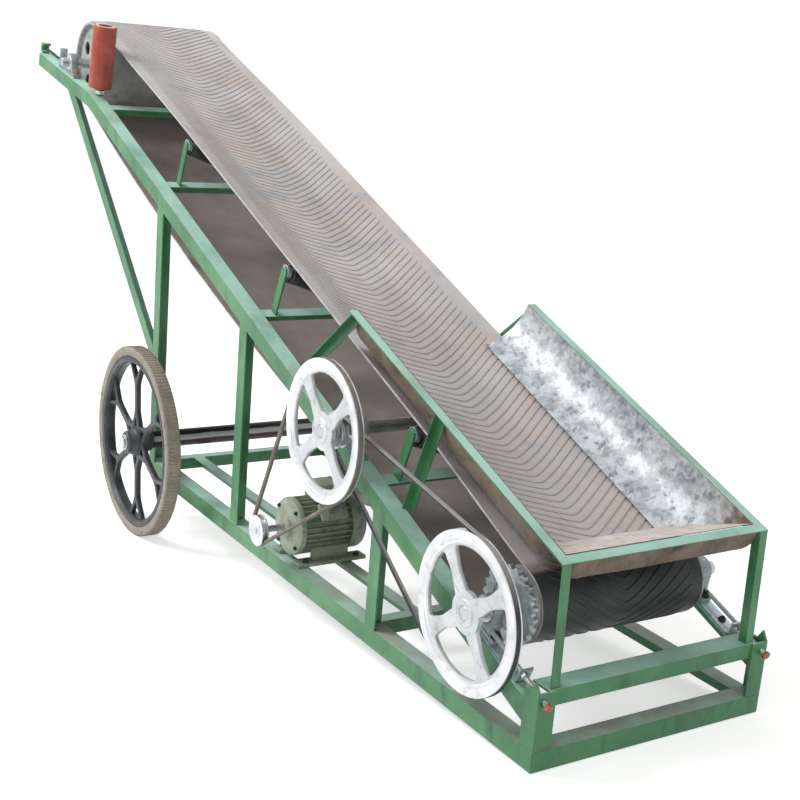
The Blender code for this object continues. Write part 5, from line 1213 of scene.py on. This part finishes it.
def motor():
    """Finned motor: ribbed body, end shield, slotted fan cowl, terminal box, feet and a blank plate."""
    front = at_y(AXES["motor_spin"], MOTOR_FRONT_Y)
    centre = front + Y_AXIS * MOTOR_LENGTH / 2
    body_low, body_high = 0.0218, MOTOR_LENGTH - 0.0518
    shape = Shape()
    fins, root, fin_root, fin_tip = 30, 0.0745, 0.0022, 0.0012
    outline = []
    for index in range(fins):
        angle = math.tau * (index + 0.5) / fins
        outline += [polar(radius, angle + half / radius) for radius, half in (
            (root, -fin_root), (MOTOR_RADIUS, -fin_tip), (MOTOR_RADIUS, fin_tip), (root, fin_root))]
    middle = front + Y_AXIS * (body_low + body_high) / 2
    shape.plate(outline, [], body_high - body_low + 0.002, frame_matrix(middle, X_AXIS, Z_AXIS), 0.4 * MM)
    shield = [(0.030, -0.0115), (0.034, -0.010), (0.036, -0.002), (0.050, 0.0), (0.060, 0.001),
              (0.078, 0.003), (0.084, 0.006), (0.086, 0.010), (0.086, 0.0215), (0.080, 0.0225),
              (0.012, 0.0225), (0.0105, -0.0115)]
    shape.lathe(shield, front, steps=72, finish=1)
    cowl = [(0.020, -0.001), (0.020, 0.0), (0.064, 0.0), (0.076, -0.003), (0.083, -0.009), (0.0855, -0.016),
            (0.0855, -0.050), (0.0842, -0.0518), (0.070, -0.0518), (0.070, -0.020), (0.020, -0.012)]
    cowl_end = front + Y_AXIS * MOTOR_LENGTH
    shape.lathe(cowl, cowl_end, steps=72)
    # Dark slots of the cowl, drawn as flat rings in its end: painted shade where the openings would be
    for inner in (0.022, 0.032, 0.042, 0.052, 0.062):
        slot = [(inner, -0.0007), (inner + 0.0035, -0.0007), (inner + 0.0035, -0.0002), (inner, -0.0002)]
        shape.lathe(slot, cowl_end, finish=2)

    # Terminal box on top, with its lid, lid screws and gland
    box = centre + BASE_NORMAL * 0.094
    shape.block(box, (0.076, 0.086, 0.036), -BASE_DIR, 4 * MM)
    shape.block(box + BASE_NORMAL * 0.026, (0.080, 0.090, 0.015), -BASE_DIR, 3 * MM)
    for x in (-0.031, 0.031):
        for y in (-0.036, 0.036):
            PALE.append((box - BASE_DIR * x + Y_AXIS * y + BASE_NORMAL * 0.0325, BASE_NORMAL, 0.42))
    gland = box - BASE_DIR * 0.038
    shape.rod(gland, gland - BASE_DIR * 0.012, 0.010, 6, 0, 0.6 * MM)
    for x, z in circle(0.074, 4):
        # Shield screws lie between the axes
        turned = Matrix.Rotation(math.tau / 8, 3, "Y") @ Vector((x, 0.0028, z))
        DARK.append((front + turned, -Y_AXIS, 0.62))

    # Feet
    for sign in (-1, 1):
        aside = BASE_DIR * sign
        foot = centre - BASE_NORMAL * MOTOR_DROP + aside * 0.062
        shape.block(foot, (0.046, 0.226, 0.0118), -BASE_DIR, 1.5 * MM)
        shape.block(centre - BASE_NORMAL * 0.072 + aside * 0.059, (0.016, 0.120, 0.040), -BASE_DIR, 2 * MM)
        DARK.extend((foot + BASE_NORMAL * 0.006 + Y_AXIS * y + aside * 0.010, BASE_NORMAL, 0.9)
                    for y in (-0.085, 0.085))

    # Cover on the side that faces the photograph's camera, with a blank plate
    cover_way = Vector((0.80, 0, 0.60))
    across = cover_way.cross(Y_AXIS)
    shape.block(centre + cover_way * 0.0840, (0.052, 0.088, 0.020), across, 4 * MM, 1)
    shape.block(centre + cover_way * 0.0945, (0.030, 0.050, 0.0012), across, 0.3 * MM, 3)
    piece("finned_motor", shape, (MOTOR_GREEN, MOTOR_PALE, DARK_BOLT, BARE_PLATE), "frame", "motor")


# Idlers, guide roller and axle

def belt_edge_out(up):
    """Height of the carrying belt's edge above the boom's line."""
    share = (up - TAIL_DISTANCE) / (HEAD_DISTANCE - TAIL_DISTANCE)
    line = part_way(TAIL_OUT + TAIL_RADIUS, HEAD_RADIUS, share)
    return line + BELT_THICKNESS + EDGE_LIFT * trough_share(up)


def idler_rollers():
    """Three capped rollers on bent shafts, and the bent over ends of their brackets."""
    shaft_radius, end_gap = 0.0075, 0.008
    half_corner = 0.030 * math.tan(TROUGH_ANGLE / 2)
    knee_y = CENTRE_WIDTH / 2 + half_corner
    end_y = knee_y + SIDE_ROLLER_SPAN * math.cos(TROUGH_ANGLE)
    drop = (BELT_WIDTH - CENTRE_WIDTH) / 2 * math.tan(TROUGH_ANGLE)
    for number, up in enumerate(IDLER_DISTANCES, start=1):
        knee_out = belt_edge_out(up) - drop - BELT_THICKNESS - 0.030 - 0.9 * MM
        end_out = knee_out + SIDE_ROLLER_SPAN * math.sin(TROUGH_ANGLE)
        knees = [on_boom(up, knee_out, sign * knee_y) for _, sign in SIDES]
        ends = [on_boom(up, end_out, sign * end_y) for _, sign in SIDES]
        spans = [(knees[0], knees[1], end_gap, 0.0)]
        spans += [(knee, end, end_gap + half_corner, 0.004) for knee, end in zip(knees, ends)]
        shape = Shape()
        rings = Shape()
        for one, two, gap, past in spans:
            way = (two - one).normalized()
            roller(shape, one + way * gap, two - way * end_gap)
            shape.rod(one, two + way * past, shaft_radius, 16, 1)
            if past:
                hook(rings, two + way * 0.0035, way)
        piece(f"idler_set_{number}", shape, (ROLLER_BLACK, SHAFT_STEEL), "frame", f"idler_rollers_{number}")
        finished(f"bracket_rings_{number}", rings, (ZINC_PLATE,), "frame")


def hook(shape, centre, outward):
    """Flat bar end bent over a roller's shaft."""
    radius, wall = 0.0165, 0.0042
    side = outward * 0.0145 / 2
    rings = []
    for angle in turns(math.radians(205), math.radians(-45), 16):
        way = BOOM_DIR * math.cos(angle) + BOOM_NORMAL * math.sin(angle)
        near, far = centre + way * radius, centre + way * (radius + wall)
        rings.append([near - side, far - side, far + side, near + side])
    shape.loft(rings)


def roller(shape, start, end):
    """Tube with rounded rims and set-in ends."""
    radius, edge = IDLER_RADIUS, 0.003
    half = (end - start).length / 2
    profile = [(0.008, half - 0.006), (radius - 0.005, half - 0.006), (radius - 0.004, half),
               (radius - edge / 2, half - 0.0005), (radius, half - edge)]
    shape.lathe(mirrored(profile), (start + end) / 2, (end - start).normalized(), 40)


def guide_roller():
    """Red guide roller with rounded rims, a worn pale top rim and a dark bore, on its pin."""
    start = AXES["guide_roller_spin"]
    length, radius, bore, rim_inner = GUIDE_LENGTH, GUIDE_RADIUS, GUIDE_BORE, 0.027
    shape = Shape()
    shape.lathe([(bore, 0.0), (radius - 0.004, 0.0), (radius - 0.001, 0.001), (radius, 0.004),
                 (radius, length - 0.006), (radius - 0.002, length - 0.002), (radius - 0.006, length),
                 (rim_inner, length), (bore, length - 0.0005)], start, TIP_NORMAL, 64)
    for inner, outer, top, steps, finish in ((rim_inner, radius - 0.0068, 0.0002, 64, 1),
                                             (bore, 0.0262, 0.0001, 48, 2)):
        low, high = length - 0.001, length + top
        rim = [(outer, low), (outer, high), (inner, high), (inner, low)]
        shape.lathe(rim, start, TIP_NORMAL, steps, finish)
    piece("guide_roller_red", shape, (ROLLER_RED, ROLLER_END, DARK_BOLT), "guide_roller_body",
          "guide_roller")
    pin = Shape()
    foot = start - TIP_NORMAL * 0.0255
    pin.rod(foot, start + TIP_NORMAL * 0.228, 0.0118, 32)
    pin.rod(foot, start - TIP_NORMAL * 0.0065, 0.0195, 32)
    piece("guide_roller_pin", pin, (SHAFT_STEEL,), "frame", "guide_pin")


def axle():
    """Tube with its stubs, and a washer and a nut beside each hub."""
    axis = AXES["wheel_near_spin"]
    reach = WHEEL_MIDDLE - 0.048
    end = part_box("axle")[1].y
    shape = Shape()
    shape.rod(at_y(axis, -reach), at_y(axis, reach), AXLE_RADIUS, 56, 0, 1.5 * MM)
    shape.rod(at_y(axis, -end), at_y(axis, end), 0.0158, 32, 1, 1.5 * MM)
    for _, sign in SIDES:
        face, washer, nut = (at_y(axis, sign * (WHEEL_MIDDLE + past)) for past in (0.0455, 0.0485, 0.0565))
        shape.rod(face, washer, 0.026, 32, 1, 0.4 * MM)
        shape.rod(washer, nut, 0.0215, 6, 1, 1.0 * MM)
    piece("axle_tube", shape, (AXLE, SHAFT_STEEL), "frame", "axle")


# Hopper

def hopper_out(up):
    return part_way(HOPPER_LOW_OUT, HOPPER_HIGH_OUT, (up - HOPPER_LOW) / (HOPPER_HIGH - HOPPER_LOW))


def dented(x, y, z, depth):
    return noise.noise(Vector((x, y, z))) * depth


def sheet(name, node, lines, inside):
    """Sheet over lines of points, with one finish inside and rust outside and along its edges."""
    work = bmesh.new()
    rows = [[work.verts.new(point) for point in line] for line in lines]
    for line, after in zip(rows, rows[1:]):
        for column in range(len(line) - 1):
            work.faces.new((line[column], line[column + 1], after[column + 1], after[column]))
    mesh = mesh_of(work, name)
    mesh.materials.append(inside)
    mesh.materials.append(RUSTY_SHEET)

    def thicken(holder):
        shell = holder.modifiers.new("thickness", "SOLIDIFY")
        shell.thickness = 1.8 * MM
        shell.offset = 0
        shell.material_offset = 1
        shell.material_offset_rim = 1

    piece(name, smoothed(evaluated(mesh, thicken), 40), (), "frame", node)


def hopper_sheets():
    """Curved side sheets from the hopper's bars down to the belt, and the front sheet between them."""
    rows, columns, front_columns = 22, 36, 24
    low_out = belt_edge_out(SHEET_FOOT) + 0.005
    bar_inner = HOPPER_LOW + 0.0283
    top_y = HOPPER_INNER - 1.3 * MM
    low_y = BELT_WIDTH / 2 - SHEET_COVER
    front_lines = []
    sides = {"near": [], "far": []}
    for step in range(rows + 1):
        angle = SHEET_TURN * step / rows
        inward = (1 - math.cos(angle)) / (1 - math.cos(SHEET_TURN))
        down = math.sin(angle) / math.sin(SHEET_TURN)
        y = part_way(top_y, low_y, inward)
        front_up = part_way(bar_inner, SHEET_FOOT, down)
        front_out = part_way(hopper_out(front_up), low_out, down)
        rear_out = part_way(HOPPER_HIGH_OUT, low_out, down)
        width = y - 2.8 * MM
        front_lines.append([])
        for across in turns(-width, width, front_columns):
            dent = dented(across * 9, down * 3, 4.0, 1.2 * MM) * math.sin(math.pi * down)
            front_lines[-1].append(on_boom(front_up, front_out + dent, across))
        for side, sign in SIDES:
            line = []
            for share in turns(0.0, 1.0, columns):
                up = part_way(front_up, HOPPER_HIGH, share)
                calm = math.sin(math.pi * share) * math.sin(math.pi * step / rows)
                dent = dented(up * 6, down * 4, sign * 2.0, 2.2 * MM) * calm
                line.append(on_boom(up, part_way(front_out, rear_out, share), sign * (y + dent)))
            # Face order puts the zinc inside
            sides[side].append(line[::sign])
    sheet("zinc_side_near", "hopper_side_near", sides["near"], ZINC_SHEET)
    sheet("zinc_side_far", "hopper_side_far", sides["far"], ZINC_SHEET)
    sheet("zinc_front", "hopper_front_sheet", front_lines, PALE_SHEET)


def front_skirt():
    """Rusty strip of the front sheet that hangs below the front bar, with a wavy lower edge."""
    half, depth, corner_width, corner_rise = 0.286, 0.050, 0.031, 0.016
    outline = []
    for across in turns(-half, half, 40):
        corner = max(0.0, (abs(across) - half + corner_width) / corner_width) ** 2 * corner_rise
        outline.append((across, -depth - dented(across * 7, 0.0, 8.0, 4.0 * MM) + corner))
    outline += [(half, 0.0), (-half, 0.0)]
    place = on_boom(0.1402, HOPPER_LOW_OUT - 0.0045)
    shape = Shape()
    shape.plate(outline, [], 1.2 * MM, frame_matrix(place, Y_AXIS, BOOM_NORMAL), 0.2 * MM)
    finished("front_skirt", shape, (RUSTY_SHEET,), "frame")


# Fasteners

def bolt_mesh():
    """Washer, hexagon head and short thread end of a 10 mm bolt."""
    shape = Shape()
    for low, high, radius, steps, chamfer in ((-0.4, 1.6, 10.5, 24, 0.3), (1.4, 8.5, 9.2, 6, 1.0),
                                              (8.0, 12.5, 4.8, 16, 0.8)):
        shape.rod(Z_AXIS * low * MM, Z_AXIS * high * MM, radius * MM, steps, 0, chamfer * MM)
    return shape.mesh("bolt")


def scatter(name, rows, finish):
    """Bolts at (point, way, size) rows, as one piece on the frame."""
    points, ways, sizes = zip(*rows)
    start = bpy.data.meshes.new("bolt_places")
    start.from_pydata([tuple(point) for point in points], [], [])
    way_layer = start.attributes.new("way", "FLOAT_VECTOR", "POINT")
    way_layer.data.foreach_set("vector", [value for way in ways for value in way])
    start.attributes.new("size", "FLOAT", "POINT").data.foreach_set("value", sizes)
    mesh = through_tree(start, SCATTER, bolt_mesh(), Finish=finish)
    finished(name, mesh, (finish,), "frame")


def weld(shape, start, end):
    """Bead of overlapping ripples along a joint, thin at its ends."""
    axis = (end - start).normalized()
    count = max(6, int((end - start).length / (2.0 * MM)))
    sizes = []
    for index in range(count + 1):
        wave = 0.80 + 0.20 * math.cos(index * 2.1) + 0.12 * noise.noise(start * 40 + axis * index * 0.31)
        sizes.append(WELD_RADIUS * wave)
    sizes[0] *= 0.35
    sizes[-1] *= 0.35
    shape.rippled(start, end, sizes, 8)


def welds():
    """Beads where posts, braces and crossbars meet the rails."""
    shape = Shape()
    for _, sign in SIDES:
        outer = sign * (HALF + 0.3 * MM)
        inner = sign * (HALF - LEG_WALL - 0.5 * MM)
        under = -LEG_WALL - 1.2 * MM
        for back in POST_DISTANCES:
            weld(shape, on_base(back - 0.025, LEG, outer), on_base(back + 0.025, LEG, outer))
        for up in (*IDLER_DISTANCES, HEAD_BRACE_DISTANCE):
            weld(shape, on_boom(up - 0.020, under, inner), on_boom(up + 0.020, under, inner))
        corner = outer - sign * 0.002
        weld(shape, on_base(0.003, LEG + 0.1 * MM, corner), on_base(0.050, LEG + 0.1 * MM, corner))
        weld(shape, on_base(-0.0004, 0.054, sign * 0.306), on_base(-0.0004, 0.054, sign * 0.352))
        weld(shape, on_base(0.0052, 0.1530, sign * 0.3045), on_base(0.0052, 0.1890, sign * 0.3045))
    finished("weld_beads", shape, (GREEN,), "frame")


# Scene

def dress_nodes():
    """Give each CAD node that stays the finish of its record slot."""
    for name, node in frame["nodes"].items():
        node.data.materials.clear()
        node.data.materials.append(GREEN if SLOTS[name] == "frame_paint" else ZINC_PLATE)


def seen_directly(tree):
    """1 for what the camera sees straight, in a reflection or through glass, 0 for light on the object."""
    mirrored_ray = add(tree, "larger", add(tree, "glossy_ray"), add(tree, "clear_ray"))
    return add(tree, "larger", add(tree, "camera_ray"), mirrored_ray)


def pale_floor():
    """Studio floor. It glows a little to the camera alone, so that it reads white and keeps its shadow."""
    corners = [(x * FLOOR_REACH, y * FLOOR_REACH, 0) for x, y in ((-1, -1), (1, -1), (1, 1), (-1, 1))]
    mesh = bpy.data.meshes.new("studio_floor")
    mesh.from_pydata(corners, [], [(0, 1, 2, 3)])
    made, tree, shader = new_finish("pale_floor")
    fill(tree, shader, {"Base Color": "#f6f6f4", "Roughness": 0.9})
    glow = add(tree, "glow", "#ffffff", add(tree, "times", seen_directly(tree), FLOOR_GLOW))
    surface = add(tree, "both_shaders", shader.outputs["BSDF"], glow)
    fill(tree, tree.nodes["Material Output"], {"Surface": surface})
    mesh.materials.append(made)
    linked("studio_floor", mesh)


def studio():
    """Pale floor, white surroundings, soft lamps and the photograph's camera."""
    pale_floor()
    world = bpy.data.worlds.new("studio_world")
    bpy.context.scene.world = world
    world.use_nodes = True
    tree = world.node_tree
    soft, white = (add(tree, "backdrop", "#ffffff", level) for level in (WORLD_LEVEL, 1.0))
    background = add(tree, "either_shader", seen_directly(tree), soft, white)
    fill(tree, tree.nodes["World Output"], {"Surface": background})
    for name, place, size, power in LAMPS:
        lamp = bpy.data.lights.new(name, "AREA")
        lamp.size = size
        lamp.energy = power
        holder = linked(name, lamp)
        holder.location = place
        holder.rotation_mode = "QUATERNION"
        holder.rotation_quaternion = (LAMP_TARGET - Vector(place)).to_track_quat("-Z", "Y")
    camera = bpy.data.cameras.new("photo_camera")
    camera.lens = CAMERA_LENS
    camera.sensor_width = 36.0
    holder = linked("photo_camera", camera)
    holder.matrix_world = frame_matrix(CAMERA_PLACE, CAMERA_RIGHT, CAMERA_UP)
    bpy.context.scene.camera = holder
    bpy.context.scene.view_settings.view_transform = "Standard"


dress_nodes()
belt()
wheels()
drive()
drum("tail", TAIL_RADIUS)
drum("head", HEAD_RADIUS)
rail_bearings()
tail_takeups()
head_bearings()
motor()
idler_rollers()
guide_roller()
axle()
hopper_sheets()
front_skirt()
welds()
scatter("dark_bolts", DARK, DARK_BOLT)
scatter("pale_bolts", PALE, PALE_BOLT)
scatter("rusty_bolts", RUSTY, RUSTY_BOLT)
studio()
